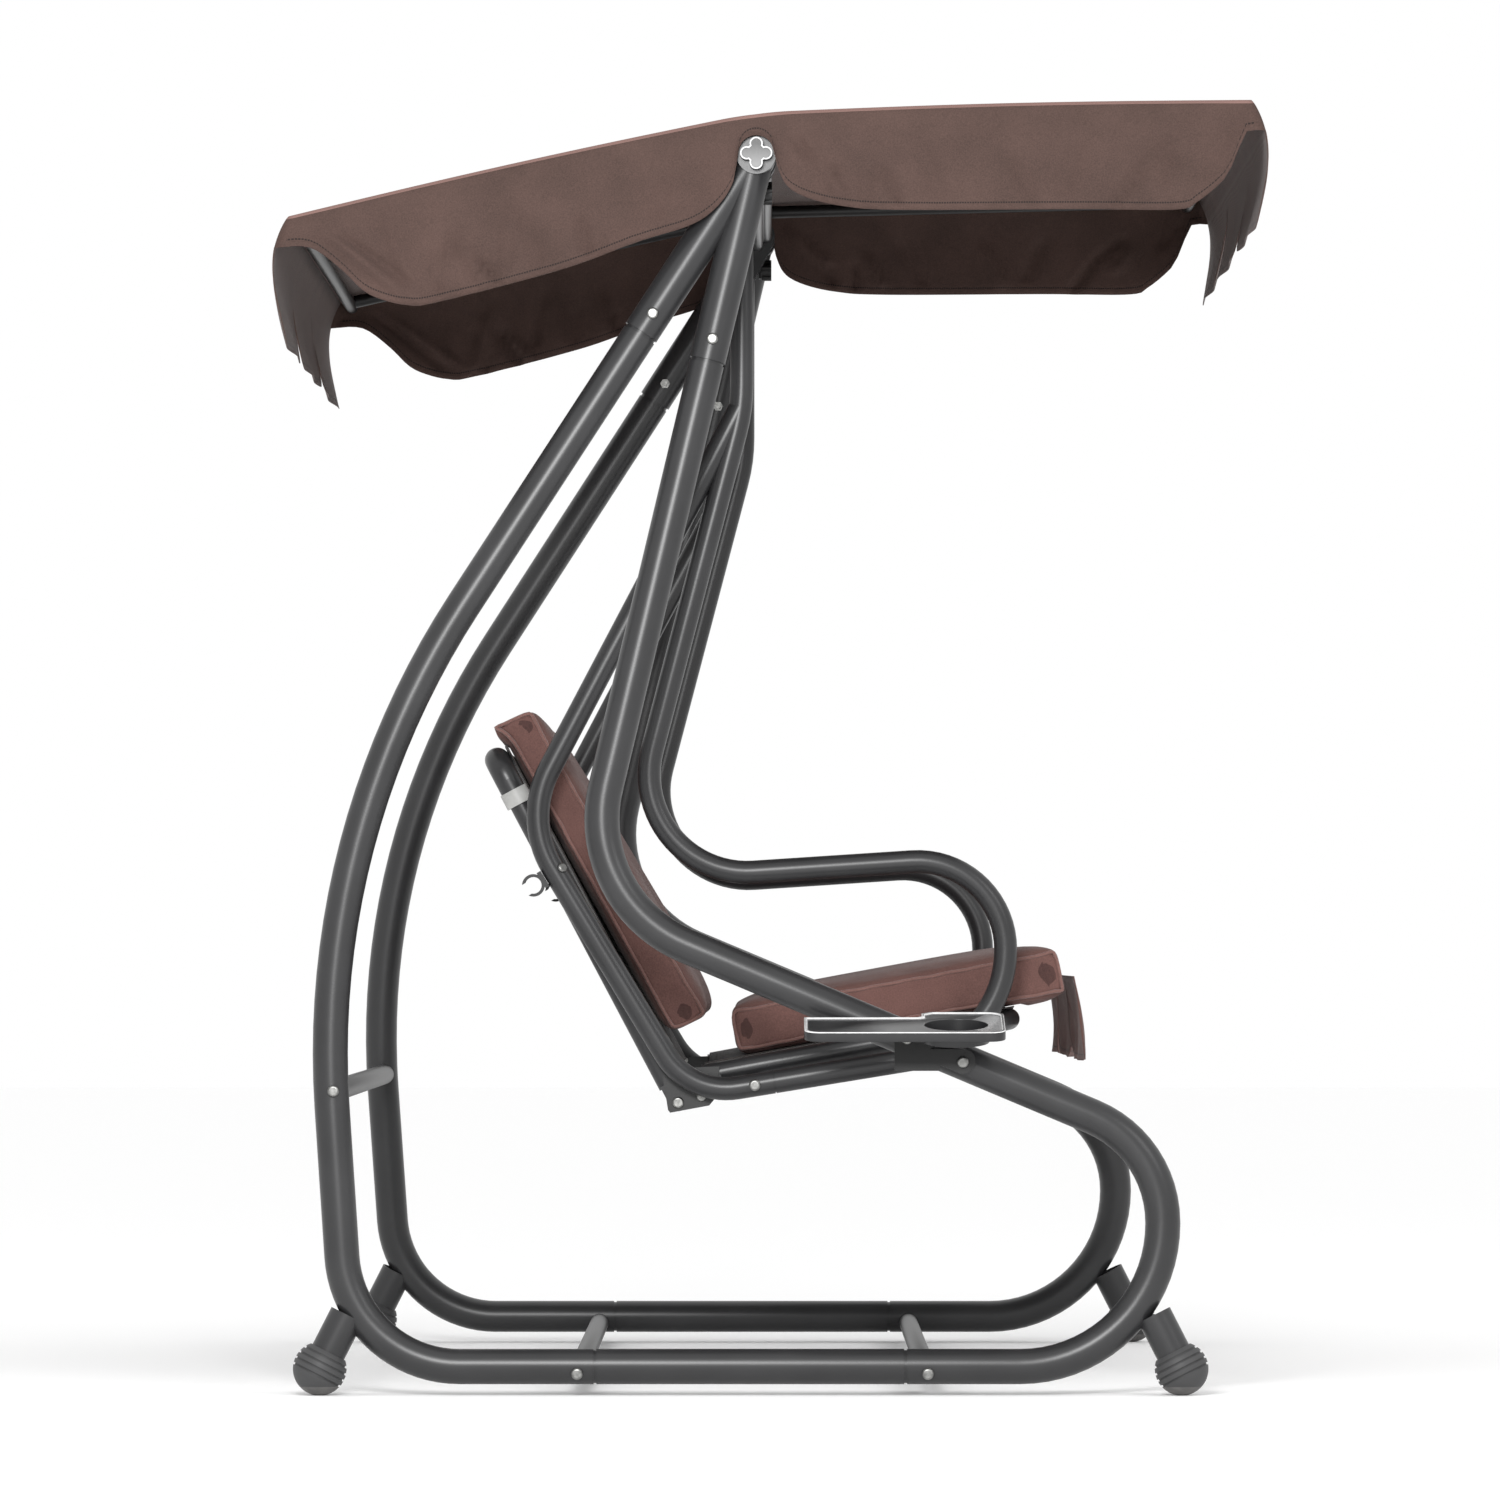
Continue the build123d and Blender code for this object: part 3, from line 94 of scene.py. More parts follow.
for name, place, target, size, power in (
        ("side_softbox", (-0.4, -4.6, 1.9), (0, -0.6, 0.9), 0.9, 125),
        ("front_softbox", (3.2, -3.4, 2.8), (0, 0, 1.0), 1.2, 25)):
    light_data = bpy.data.lights.new(name, "AREA")
    light_data.shape = "SQUARE"
    light_data.size = size
    light_data.energy = power
    light = bpy.data.objects.new(name, light_data)
    light.location = place
    light.rotation_euler = (Vector(target) - Vector(place)).to_track_quat("-Z", "Y").to_euler()
    bpy.context.scene.collection.objects.link(light)


# ---- Stand and seat tubes ------------------------------------------------------------------
# Bent round steel tubes, swaged and bolted end to end, in a charcoal powder coat: slightly
# mottled, with a fine orange-peel skin and a satin gloss.
def start_material(name, roughness, specular):
    """A named material with its shader, its node and link makers, and object coordinates."""
    material = bpy.data.materials.new(name)
    material.use_nodes = True
    tree = material.node_tree
    shader = tree.nodes["Principled BSDF"]
    shader.inputs["Roughness"].default_value = roughness
    shader.inputs["Specular IOR Level"].default_value = specular
    place = tree.nodes.new("ShaderNodeTexCoord")
    return material, tree, shader, place.outputs["Object"]


def noise(tree, where, scale, detail=3.0):
    """A noise texture of that scale; returns its 0 to 1 output."""
    grain = tree.nodes.new("ShaderNodeTexNoise")
    grain.inputs["Scale"].default_value = scale
    grain.inputs["Detail"].default_value = detail
    tree.links.new(where, grain.inputs["Vector"])
    return grain.outputs["Fac"]


def ramp(tree, value, *stops):
    """A colour ramp; each stop is (position, colour)."""
    band = tree.nodes.new("ShaderNodeValToRGB")
    points = band.color_ramp.elements
    for index, (position, colour) in enumerate(stops):
        point = points[index] if index < 2 else points.new(position)
        point.position = position
        point.color = (*colour, 1)
    tree.links.new(value, band.inputs["Fac"])
    return band.outputs["Color"]


def bump(tree, shader, height, strength, depth, under=None):
    """Adds a bump of that depth in metres to the shader, on top of an earlier one."""
    relief = tree.nodes.new("ShaderNodeBump")
    relief.inputs["Strength"].default_value = strength
    relief.inputs["Distance"].default_value = depth
    tree.links.new(height, relief.inputs["Height"])
    if under is not None:
        tree.links.new(under, relief.inputs["Normal"])
    tree.links.new(relief.outputs["Normal"], shader.inputs["Normal"])
    return relief.outputs["Normal"]


def calculate(tree, operation, first, second=0.0, third=None):
    """One Math node; each input is a number or another node's output."""
    sum_node = tree.nodes.new("ShaderNodeMath")
    sum_node.operation = operation
    for index, value in enumerate((first, second, third)):
        if value is None:
            continue
        if isinstance(value, (int, float)):
            sum_node.inputs[index].default_value = value
        else:
            tree.links.new(value, sum_node.inputs[index])
    return sum_node.outputs["Value"]


def part_of(tree, where, axis):
    """The X, Y or Z part of a vector output."""
    split = tree.nodes.new("ShaderNodeSeparateXYZ")
    tree.links.new(where, split.inputs["Vector"])
    return split.outputs[axis]


def powder_coat(name, colour, roughness=0.34):
    """Satin powder coat on steel."""
    coat, tree, shader, where = start_material(name, roughness, 0.42)
    dark = [part * 0.82 for part in colour]
    light = [part * 1.15 for part in colour]
    tint = ramp(tree, noise(tree, where, 11.0, 5.0), (0.3, dark), (0.75, light))
    tree.links.new(tint, shader.inputs["Base Color"])
    peel = bump(tree, shader, noise(tree, where, 420.0, 2.0), 0.18, 0.0003)
    bump(tree, shader, noise(tree, where, 1500.0, 1.0), 0.10, 0.0001, peel)
    return coat


def finish_nodes(material, *starts):
    """Gives one material to every CAD node whose name begins with one of these words."""
    for name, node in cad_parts.items():
        if name.startswith(starts):
            node.data.materials.clear()
            node.data.materials.append(material)


stand_coat = powder_coat("stand_coat", (0.024, 0.024, 0.025))
seat_coat = powder_coat("seat_coat", (0.020, 0.020, 0.021))
cross_coat = powder_coat("cross_coat", (0.008, 0.008, 0.008), 0.42)
finish_nodes(stand_coat, "front_leg", "rear_leg", "base_rail", "head_bracket",
             "hanger_bracket")
finish_nodes(seat_coat, "front_loop", "rear_loop", "seat_hoop", "backrest_rail",
             "backrest_hoop")
finish_nodes(cross_coat, "rear_cross", "rear_floor", "front_floor", "rear_seat", "front_seat",
             "tray_strap", "canopy_arm", "canopy_clamp", "canopy_rear_tube",
             "canopy_front_tube")

# ---- Top beam -------------------------------------------------------------------------------
# A four-lobed tube across the top. Its coat stops at the sawn ends, whose bare rim shines,
# and a grey plastic plug sits just inside each of them, its colour running from dark at the
# top to light grey at the bottom as painted shade and a painted reflection.
beam_low, beam_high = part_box("top_beam")
beam_coat, tree, shader, where = start_material("beam_coat", 0.34, 0.42)
sawn = calculate(tree, "GREATER_THAN",
                 calculate(tree, "ABSOLUTE", part_of(tree, where, "Y")), beam_high.y - 0.0006)
beam_tint = ramp(tree, sawn, (0.0, (0.024, 0.024, 0.025)), (1.0, (0.42, 0.42, 0.42)))
tree.links.new(beam_tint, shader.inputs["Base Color"])
bump(tree, shader, noise(tree, where, 420.0, 2.0), 0.18, 0.0003)
finish_nodes(beam_coat, "top_beam")

plug_plastic, tree, shader, where = start_material("plug_plastic", 0.42, 0.5)
# Painted shade and painted reflection: the plug is dark at its top and lighter grey at its bottom.
plug_height = part_of(tree, where, "Z")
plug_shade = calculate(tree, "MULTIPLY_ADD", plug_height, -1 / (beam_high.z - beam_low.z),
                       beam_high.z / (beam_high.z - beam_low.z))
plug_painted_shade = ramp(tree, plug_shade, (0.2, (0.02, 0.02, 0.02)), (0.85, (0.16, 0.16, 0.16)))
tree.links.new(plug_painted_shade, shader.inputs["Base Color"])
bump(tree, shader, noise(tree, where, 300.0), 0.2, 0.0005)
finish_nodes(plug_plastic, "beam_end_plugs")


# ---- Moulded plastic parts --------------------------------------------------------------------
# The ball feet are matt charcoal rubbery plastic with ribs, scuffed where they meet the
# ground. Collars, snap clips, knobs and bushes are small smooth mouldings.
def moulded(name, colour, roughness, grain):
    """Moulded plastic with a fine grain and slight changes of tint."""
    plastic, tree, shader, where = start_material(name, roughness, 0.45)
    tint = ramp(tree, noise(tree, where, 35.0, 4.0), (0.3, [part * 0.85 for part in colour]),
                (0.7, [min(1.0, part * 1.12) for part in colour]))
    tree.links.new(tint, shader.inputs["Base Color"])
    bump(tree, shader, noise(tree, where, grain, 3.0), 0.25, 0.0003)
    return plastic


foot_plastic, tree, shader, where = start_material("foot_plastic", 0.55, 0.4)
foot_height = part_of(tree, where, "Z")
scuffed = calculate(tree, "MULTIPLY", noise(tree, where, 60.0, 6.0),
                    calculate(tree, "LESS_THAN", foot_height, 0.012))
foot_tint = ramp(tree, scuffed, (0.0, (0.045, 0.045, 0.046)), (0.7, (0.13, 0.125, 0.12)))
tree.links.new(foot_tint, shader.inputs["Base Color"])
bump(tree, shader, noise(tree, where, 700.0), 0.3, 0.0003)
finish_nodes(foot_plastic, "front_foot", "rear_foot")
finish_nodes(moulded("collar_plastic", (0.33, 0.33, 0.32), 0.42, 500.0), "backrest_collars")
finish_nodes(moulded("black_plastic", (0.006, 0.006, 0.006), 0.5, 600.0), "snap_clips",
             "clamp_knob")
finish_nodes(moulded("bush_nylon", (0.72, 0.70, 0.64), 0.5, 600.0), "pivot_bushes")

# ---- Hinge plates and fasteners ----------------------------------------------------------------
# Black painted plates join the backrest to the seat. Bolts and nuts are bright zinc plate,
# faintly clouded, with round domed heads.
plate_coat = powder_coat("plate_coat", (0.012, 0.012, 0.012), 0.4)
finish_nodes(plate_coat, "hinge_plates")
zinc, tree, shader, where = start_material("zinc", 0.38, 0.5)
shader.inputs["Metallic"].default_value = 1.0
zinc_tint = ramp(tree, noise(tree, where, 160.0, 5.0), (0.3, (0.15, 0.15, 0.145)),
                 (0.7, (0.30, 0.30, 0.29)))
tree.links.new(zinc_tint, shader.inputs["Base Color"])
bump(tree, shader, noise(tree, where, 900.0, 4.0), 0.25, 0.0002)
finish_nodes(zinc, "stand_bolts", "stand_nuts", "pivot_bolts", "seat_bolts", "clamp_nuts")


# ---- Canopy cover ------------------------------------------------------------------------------
# One sewn cover of brown polyester over the canopy's frame: a top that sags a little, a flap
# down each side with a stitched hem and a notch for the beam, and a valance of tabs at each end.
def woven(name, colour, shade, sheen, weave):
    """Plain-woven polyester: crossing threads, faint slubs, a soft sheen and slow mottling."""
    cloth, tree, shader, where = start_material(name, 0.78, 0.25)
    shader.inputs["Sheen Weight"].default_value = sheen
    shader.inputs["Sheen Roughness"].default_value = 0.45
    mottle = noise(tree, where, 14.0, 6.0)
    grain = noise(tree, where, 520.0, 4.0)
    slow = calculate(tree, "MULTIPLY", mottle, 0.45)
    both = calculate(tree, "MULTIPLY_ADD", grain, 0.55, slow)
    tint = ramp(tree, both, (0.34, shade), (0.66, colour))
    threads = []
    for axes in ((1.0, 0.0, 0.35), (0.0, 1.0, 0.8)):
        turned = tree.nodes.new("ShaderNodeVectorMath")
        turned.operation = "DOT_PRODUCT"
        turned.inputs[1].default_value = axes
        tree.links.new(where, turned.inputs[0])
        wave = calculate(tree, "SINE", calculate(tree, "MULTIPLY", turned.outputs["Value"],
                                                 2 * math.pi / weave))
        threads.append(wave)
    weft = bump(tree, shader, calculate(tree, "MAXIMUM", *threads), 0.3, 0.0003)
    slub = bump(tree, shader, grain, 0.35, 0.0006, weft)
    return cloth, tree, shader, where, tint, slub


def attribute(tree, name):
    """A float attribute of the piece's own mesh."""
    reader = tree.nodes.new("ShaderNodeAttribute")
    reader.attribute_name = name
    return reader.outputs["Fac"]


def stitched(tree, shader, tint, slub, seam_at=0.010, stitch=0.0035):
    """Darkens a line of stitches along a hem, lifts the folded hem and lights its piping."""
    hem = attribute(tree, "hem")
    along = attribute(tree, "along")
    on_line = calculate(tree, "COMPARE", hem, seam_at, 0.0011)
    stride = calculate(tree, "MULTIPLY", along, 2 * math.pi / stitch)
    dash = calculate(tree, "GREATER_THAN", calculate(tree, "SINE", stride), -0.55)
    thread = calculate(tree, "MULTIPLY", on_line, dash)
    dark = tree.nodes.new("ShaderNodeMix")
    dark.data_type = "RGBA"
    dark.inputs["B"].default_value = (0.012, 0.008, 0.007, 1)
    tree.links.new(calculate(tree, "MULTIPLY", thread, 0.85), dark.inputs["Factor"])
    tree.links.new(tint, dark.inputs["A"])
    piping = calculate(tree, "LESS_THAN", attribute(tree, "edge"), 0.004)
    pale = tree.nodes.new("ShaderNodeMix")
    pale.data_type = "RGBA"
    pale.inputs["B"].default_value = (0.30, 0.175, 0.155, 1)
    tree.links.new(calculate(tree, "MULTIPLY", piping, 0.55), pale.inputs["Factor"])
    tree.links.new(dark.outputs["Result"], pale.inputs["A"])
    tree.links.new(pale.outputs["Result"], shader.inputs["Base Color"])
    fold = calculate(tree, "LESS_THAN", hem, seam_at - 0.001)
    raised = bump(tree, shader, fold, 0.5, 0.0015, slub)
    bump(tree, shader, calculate(tree, "SUBTRACT", 1.0, on_line), 0.6, 0.0012, raised)


def smooth_line(points, count):
    """Evenly spaced points on a smooth curve through the given (x, z) points."""
    knots = [Vector(points[0]) * 2 - Vector(points[1])] + [Vector(p) for p in points]
    knots.append(Vector(points[-1]) * 2 - Vector(points[-2]))
    dense = []
    for index in range(1, len(knots) - 2):
        before, start, finish, after = knots[index - 1:index + 3]
        for step in range(24):
            t = step / 24
            dense.append(0.5 * (2 * start + (finish - before) * t
                                + (2 * before - 5 * start + 4 * finish - after) * t ** 2
                                + (3 * start - before - 3 * finish + after) * t ** 3))
    dense.append(knots[-2])
    lengths = [0.0]
    for start, finish in zip(dense, dense[1:]):
        lengths.append(lengths[-1] + (finish - start).length)
    spaced = []
    index = 0
    for step in range(count):
        target = lengths[-1] * step / (count - 1)
        while index < len(lengths) - 2 and lengths[index + 1] < target:
            index += 1
        share = (target - lengths[index]) / max(1e-9, lengths[index + 1] - lengths[index])
        spaced.append(dense[index].lerp(dense[index + 1], min(1.0, max(0.0, share))))
    return spaced


flap_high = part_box("side_flaps")[1]
valance_low, valance_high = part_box("rear_valance")
flap_inset = 0.0031         # from the CAD flap's outer face to the sewn cloth
cover_half = flap_high.y - flap_inset
rear_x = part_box("rear_valance")[1].x
front_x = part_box("front_valance")[0].x
rear_top = valance_high.z
front_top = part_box("front_valance")[1].z
ridge_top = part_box("canopy_rear_panel")[1].z
beam_x = (beam_low.x + beam_high.x) / 2
beam_z = (beam_low.z + beam_high.z) / 2
notch_r = 0.0245
arch = 0.004                # rise of a panel's middle
sag = 0.010                 # hang of a panel's middle between the arms
fold_gain = 2               # every fold stands this many times its listed height
rear_hem = smooth_line([(rear_x, 1.5635), (-0.634, 1.5660), (-0.614, 1.5587), (-0.5814, 1.5309),
                        (-0.5562, 1.5057), (-0.5309, 1.4932), (-0.4956, 1.4855),
                        (-0.4552, 1.4893), (-0.2867, 1.5335), (-0.1831, 1.5712),
                        (-0.1093, 1.5945), (-0.0736, 1.6186), (-0.0520, 1.6500),
                        (-0.0450, 1.6830)], 260)
front_hem = smooth_line([(0.0070, 1.6830), (0.0210, 1.6510), (0.0476, 1.6335), (0.0980, 1.6210),
                         (0.1770, 1.6156), (0.4228, 1.6165), (0.5550, 1.6160), (0.5838, 1.6270),
                         (0.6123, 1.6518), (0.6235, 1.6708), (0.6350, 1.7068),
                         (0.6425, 1.7238), (front_x, 1.7240)], 260)


def top_line(x):
    """Height of the cover's top at x, with the ridge rounded over and the panels arched."""
    half_round = 0.05
    rear_rise = (ridge_top - rear_top) / (beam_x - rear_x)
    front_rise = (front_top - ridge_top) / (front_x - beam_x)
    away = x - beam_x
    slope_height = ridge_top + (front_rise if away > 0 else rear_rise) * away
    if abs(away) < half_round:
        slope_height -= (rear_rise - front_rise) * (half_round - abs(away)) ** 2 / (4 * half_round)
    end = front_x if away > 0 else rear_x
    share = min(1.0, abs(away) / abs(end - beam_x))
    return slope_height + arch * math.sin(math.pi * share)


def hem_height(x):
    """Height of a side flap's lower edge at x."""
    if abs(x - beam_x) < notch_r + 0.0005:
        return beam_z + math.sqrt(max(0.0, notch_r ** 2 - (x - beam_x) ** 2))
    line = rear_hem if x < beam_x else front_hem
    for start, finish in zip(line, line[1:]):
        if start.x <= x <= finish.x:
            share = (x - start.x) / max(1e-9, finish.x - start.x)
            return start.y + (finish.y - start.y) * share
    return line[0].y if x < line[0].x else line[-1].y


def corner_bulge(fall, drop):
    """How far an end valance swings outward at that distance below its top edge."""
    return 0.024 * math.sin(math.pi * min(1.0, fall / (1.12 * drop)) ** 0.8)


creases = (                 # (x, z, x, z, height, half width), each a fold in a side flap
    (-0.525, 1.605, -0.480, 1.497, 0.0035, 0.007), (-0.455, 1.560, -0.436, 1.498, 0.004, 0.006),
    (-0.430, 1.590, -0.452, 1.505, -0.004, 0.006), (-0.418, 1.565, -0.385, 1.512, 0.005, 0.006),
    (-0.400, 1.550, -0.370, 1.515, -0.0045, 0.005), (-0.352, 1.620, -0.362, 1.540, 0.004, 0.005),
    (-0.335, 1.610, -0.318, 1.535, -0.003, 0.006), (-0.296, 1.600, -0.300, 1.545, 0.003, 0.006),
    (-0.262, 1.612, -0.250, 1.556, -0.004, 0.006), (-0.240, 1.590, -0.232, 1.560, 0.004, 0.005),
    (-0.196, 1.592, -0.190, 1.574, 0.004, 0.005), (-0.140, 1.660, -0.160, 1.605, 0.004, 0.005),
    (-0.600, 1.580, -0.500, 1.500, 0.004, 0.006), (-0.585, 1.580, -0.470, 1.500, -0.003, 0.006),
    (0.030, 1.715, 0.090, 1.660, -0.005, 0.010), (0.052, 1.712, 0.098, 1.634, 0.006, 0.006),
    (0.130, 1.665, 0.132, 1.625, 0.004, 0.005), (0.150, 1.675, 0.175, 1.628, -0.004, 0.006),
    (0.205, 1.700, 0.235, 1.632, 0.003, 0.008), (0.330, 1.690, 0.360, 1.626, -0.003, 0.008),
    (0.420, 1.700, 0.395, 1.640, 0.003, 0.009), (0.545, 1.705, 0.505, 1.670, 0.0045, 0.005),
    (0.505, 1.670, 0.470, 1.624, 0.005, 0.005), (0.560, 1.690, 0.535, 1.650, -0.003, 0.007),
    (0.630, 1.735, 0.600, 1.690, 0.003, 0.008),
)


def crease_lift(x, z):
    """Sideways lift of a side flap at (x, z), from all its folds."""
    lift = 0.0
    for x0, z0, x1, z1, height, half_width in creases:
        run_x, run_z = x1 - x0, z1 - z0
        length = math.hypot(run_x, run_z)
        t = ((x - x0) * run_x + (z - z0) * run_z) / length ** 2
        if -0.15 < t < 1.1:
            across = ((x - x0) * run_z - (z - z0) * run_x) / length
            fade = min(1.0, (t + 0.15) * 3) * min(1.0, (1.1 - t) * 6)
            lift += fold_gain * height * fade * math.exp(-(across / half_width) ** 2)
    return lift


def top_sag(x, y):
    """How far the top hangs between the arms and the end tubes."""
    inside = max(0.0, 1 - (y / (cover_half * 0.9)) ** 2)
    end = front_x if x > beam_x else rear_x
    share = min(1.0, abs(x - beam_x) / abs(end - beam_x))
    return sag * inside * math.sin(math.pi * min(1.0, share * 1.02)) + 0.3 * sag * inside


columns = []
x = rear_x
while x < front_x - 0.001:
    columns.append(x)
    x += 0.004 if abs(x - beam_x) < 0.045 else 0.0085
columns.append(front_x)
rows = 24                   # from the top to the hem of a side flap
tab_rows = 18               # from the corner of the flap down to the end of a tab
tabs = 3
tab_columns = 26
slit = 0.062
slit_gap = 0.050
tab_round = 0.055
drop = valance_high.z - valance_low.z
tab_width = 2 * cover_half / tabs
top_stations = [-cover_half + tab_width * index / tab_columns
                for index in range(tabs * tab_columns + 1)]

cover_mesh = bmesh.new()
hem_layer = cover_mesh.verts.layers.float.new("hem")
edge_layer = cover_mesh.verts.layers.float.new("edge")
along_layer = cover_mesh.verts.layers.float.new("along")


def cover_point(place, hem, edge, along):
    """One vertex of the cover, with its distances from the hem and from the upper seam."""
    point = cover_mesh.verts.new(place)
    point[hem_layer] = hem
    point[edge_layer] = edge
    point[along_layer] = along
    return point


def cover_patch(grid, flip):
    """Faces between the points of a grid; flip turns them round."""
    for row, next_row in zip(grid, grid[1:]):
        for index in range(len(row) - 1):
            corners = [row[index], row[index + 1], next_row[index + 1], next_row[index]]
            cover_mesh.faces.new(corners[::-1] if flip else corners)


cover_patch([[cover_point((x, y, top_line(x) - top_sag(x, y)), 0.3,
                          min(0.3, cover_half - abs(y) + 0.0001), x) for y in top_stations]
             for x in columns], True)
for side in (-1, 1):
    grid = []
    for row in range(rows + 1):
        line = []
        for x in columns:
            top, low = top_line(x), hem_height(x)
            share = (row / rows) ** 0.9
            z = top + (low - top) * share
            fall = top - z
            end_x = front_x if x > beam_x else rear_x
            near_end = math.exp(-abs(end_x - x) / 0.022)
            swing = corner_bulge(fall, drop) * near_end * (1 if x > beam_x else -1)
            belly = 0.007 * math.sin(math.pi * min(1.0, share * 1.1)) * (1 - near_end)
            fold = crease_lift(x, z) * min(1.0, fall / 0.02) * (1 - near_end)
            near_beam = math.exp(-((x - beam_x) / 0.05) ** 2)
            out = (belly + fold) * (1 - 0.8 * near_beam)
            edge = fall if row else 0.0
            line.append(cover_point((x + swing, side * (cover_half + out), z), z - low,
                                    min(0.3, edge), x))
        grid.append(line)
    cover_patch(grid, side > 0)

for way, end_x, end_top, hem_z in ((-1, rear_x, rear_top, hem_height(rear_x)),
                                   (1, front_x, front_top, hem_height(front_x))):
    corner_fall = end_top - hem_z
    falls = [corner_fall * (row / rows) ** 0.9 for row in range(rows + 1)]
    falls += [corner_fall + (drop - corner_fall) * row / tab_rows
              for row in range(1, tab_rows + 1)]
    for tab in range(tabs):
        middle = -cover_half + tab_width * (tab + 0.5)
        grid = []
        for row, fall in enumerate(falls):
            open_share = max(0.0, (fall - (drop - slit)) / slit)
            gap = slit_gap * open_share if fall > drop - slit else 0.0
            line = []
            for index in range(tab_columns + 1):
                u = index / tab_columns
                left_gap = gap / 2 if tab > 0 else 0.3 * gap
                right_gap = gap / 2 if tab < tabs - 1 else 0.3 * gap
                y = middle - tab_width / 2 + left_gap + u * (tab_width - left_gap - right_gap)
                from_edge = min(u, 1 - u) * tab_width
                lift = 0.0
                if from_edge < tab_round:
                    lift = tab_round - math.sqrt(tab_round ** 2 - (tab_round - from_edge) ** 2)
                tab_drop = drop - lift * 0.9
                depth = fall if fall <= corner_fall else (
                    corner_fall + (fall - corner_fall) * (tab_drop - corner_fall)
                    / (drop - corner_fall))
                curl = min(1.0, max(0.0, (depth - corner_fall) / (drop - corner_fall)))
                cup = 1 - 0.3 * curl * (1 - math.sin(math.pi * u) ** 0.5)
                ripple = 0.003 * curl * math.sin(3 * math.pi * u + 2.1 * tab + way)
                swing = corner_bulge(depth, drop) * cup + ripple
                line.append(cover_point((end_x + way * swing, y, end_top - depth),
                                        max(0.0, tab_drop - depth), depth, y))
            grid.append(line)
        cover_patch(grid, way > 0)
bmesh.ops.remove_doubles(cover_mesh, verts=cover_mesh.verts, dist=0.0004)
bmesh.ops.recalc_face_normals(cover_mesh, faces=cover_mesh.faces)
cover_area = sum(face.calc_area() for face in cover_mesh.faces)


def new_piece(name, mesh_source, material, body):
    """Turns a bmesh into a piece with a material that rides on a CAD body."""
    data = bpy.data.meshes.new(name)
    mesh_source.to_mesh(data)
    mesh_source.free()
    piece = bpy.data.objects.new(name, data)
    bpy.context.scene.collection.objects.link(piece)
    data.materials.append(material)
    for face in data.polygons:
        face.use_smooth = True
    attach(piece, body)
    return piece


def apply_all(piece):
    """Applies a piece's modifiers."""
    bpy.ops.object.select_all(action="DESELECT")
    piece.select_set(True)
    bpy.context.view_layer.objects.active = piece
    for modifier in list(piece.modifiers):
        bpy.ops.object.modifier_apply(modifier=modifier.name)
    piece.select_set(False)


canopy_cloth, tree, shader, where, tint, slub = woven(
    "canopy_cloth", (0.080, 0.047, 0.039), (0.046, 0.027, 0.022), 0.1, 0.0011)
stitched(tree, shader, tint, slub)
canopy_cover = new_piece("canopy_cover", cover_mesh, canopy_cloth, "canopy")
cover_shell = canopy_cover.modifiers.new("cloth", "SOLIDIFY")
cover_shell.thickness = 0.0012
cover_shell.offset = 1.0
apply_all(canopy_cover)
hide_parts("canopy_front_panel", "canopy_rear_panel", "side_flaps",
            "front_valance", "rear_valance")

# ---- Seat and backrest slings ------------------------------------------------------------------
# Dark woven slings are stretched over the rails of the seat and of the backrest, hemmed all
# round, and hang a few millimetres under the cushions' weight.
sling_mesh, tree, shader, where, tint, slub = woven(
    "sling_mesh", (0.040, 0.034, 0.032), (0.018, 0.015, 0.014), 0.1, 0.0024)
stitched(tree, shader, tint, slub, 0.022, 0.004)


def local_place(origin, along, out, u, y, n):
    """A point of a slope: u along it, y across, n out of it; origin is (x, z)."""
    return Vector((origin[0] + along[0] * u + out[0] * n, y,
                   origin[1] + along[1] * u + out[1] * n))


def add_sling(name, origin, along, out, start, end, half, lift, sag, body, node):
    """A stretched sheet between start and end along a slope."""
    weave = bmesh.new()
    layers = [weave.verts.layers.float.new(word) for word in ("hem", "edge", "along")]
    grid = []
    for row in range(29):
        u = start + (end - start) * row / 28
        line = []
        for index in range(81):
            y = half * (2 * index / 80 - 1)
            middle = max(0.0, 1 - (y / (half - 0.03)) ** 2)
            hang = sag * middle ** 0.5
            point = weave.verts.new(local_place(origin, along, out, u, y, lift - hang))
            hem = min(u - start, end - u, half - abs(y))
            for layer, value in zip(layers, (hem, 0.3, y if hem < half - abs(y) else u)):
                point[layer] = value
            line.append(point)
        grid.append(line)
    for row, next_row in zip(grid, grid[1:]):
        for index in range(80):
            weave.faces.new((row[index], row[index + 1], next_row[index + 1], next_row[index]))
    area = sum(face.calc_area() for face in weave.faces)
    sling = new_piece(name, weave, sling_mesh, body)
    cloth_thickness = sling.modifiers.new("cloth", "SOLIDIFY")
    cloth_thickness.thickness = 0.0014
    cloth_thickness.offset = 0.0
    apply_all(sling)
    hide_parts(node)


seat_turn = math.atan2(0.078, 0.424)
seat_origin = (-0.092, 0.431)
seat_along = (math.cos(seat_turn), math.sin(seat_turn))
seat_out = (-math.sin(seat_turn), math.cos(seat_turn))
back_turn = math.atan2(0.251, 0.474)
back_origin = (-0.127, 0.394)
back_along = (-math.sin(back_turn), math.cos(back_turn))
back_out = (math.cos(back_turn), math.sin(back_turn))
sling_half = 0.704
sling_sag = 0.008
add_sling("seat_sling_cloth", seat_origin, seat_along, seat_out, start=0.004, end=0.440,
          half=sling_half, lift=0.0166, sag=sling_sag, body="seat",
          node="seat_sling")
add_sling("backrest_sling_cloth", back_origin, back_along, back_out, start=0.040, end=0.550,
          half=sling_half, lift=0.0211, sag=sling_sag, body="backrest",
          node="backrest_sling")

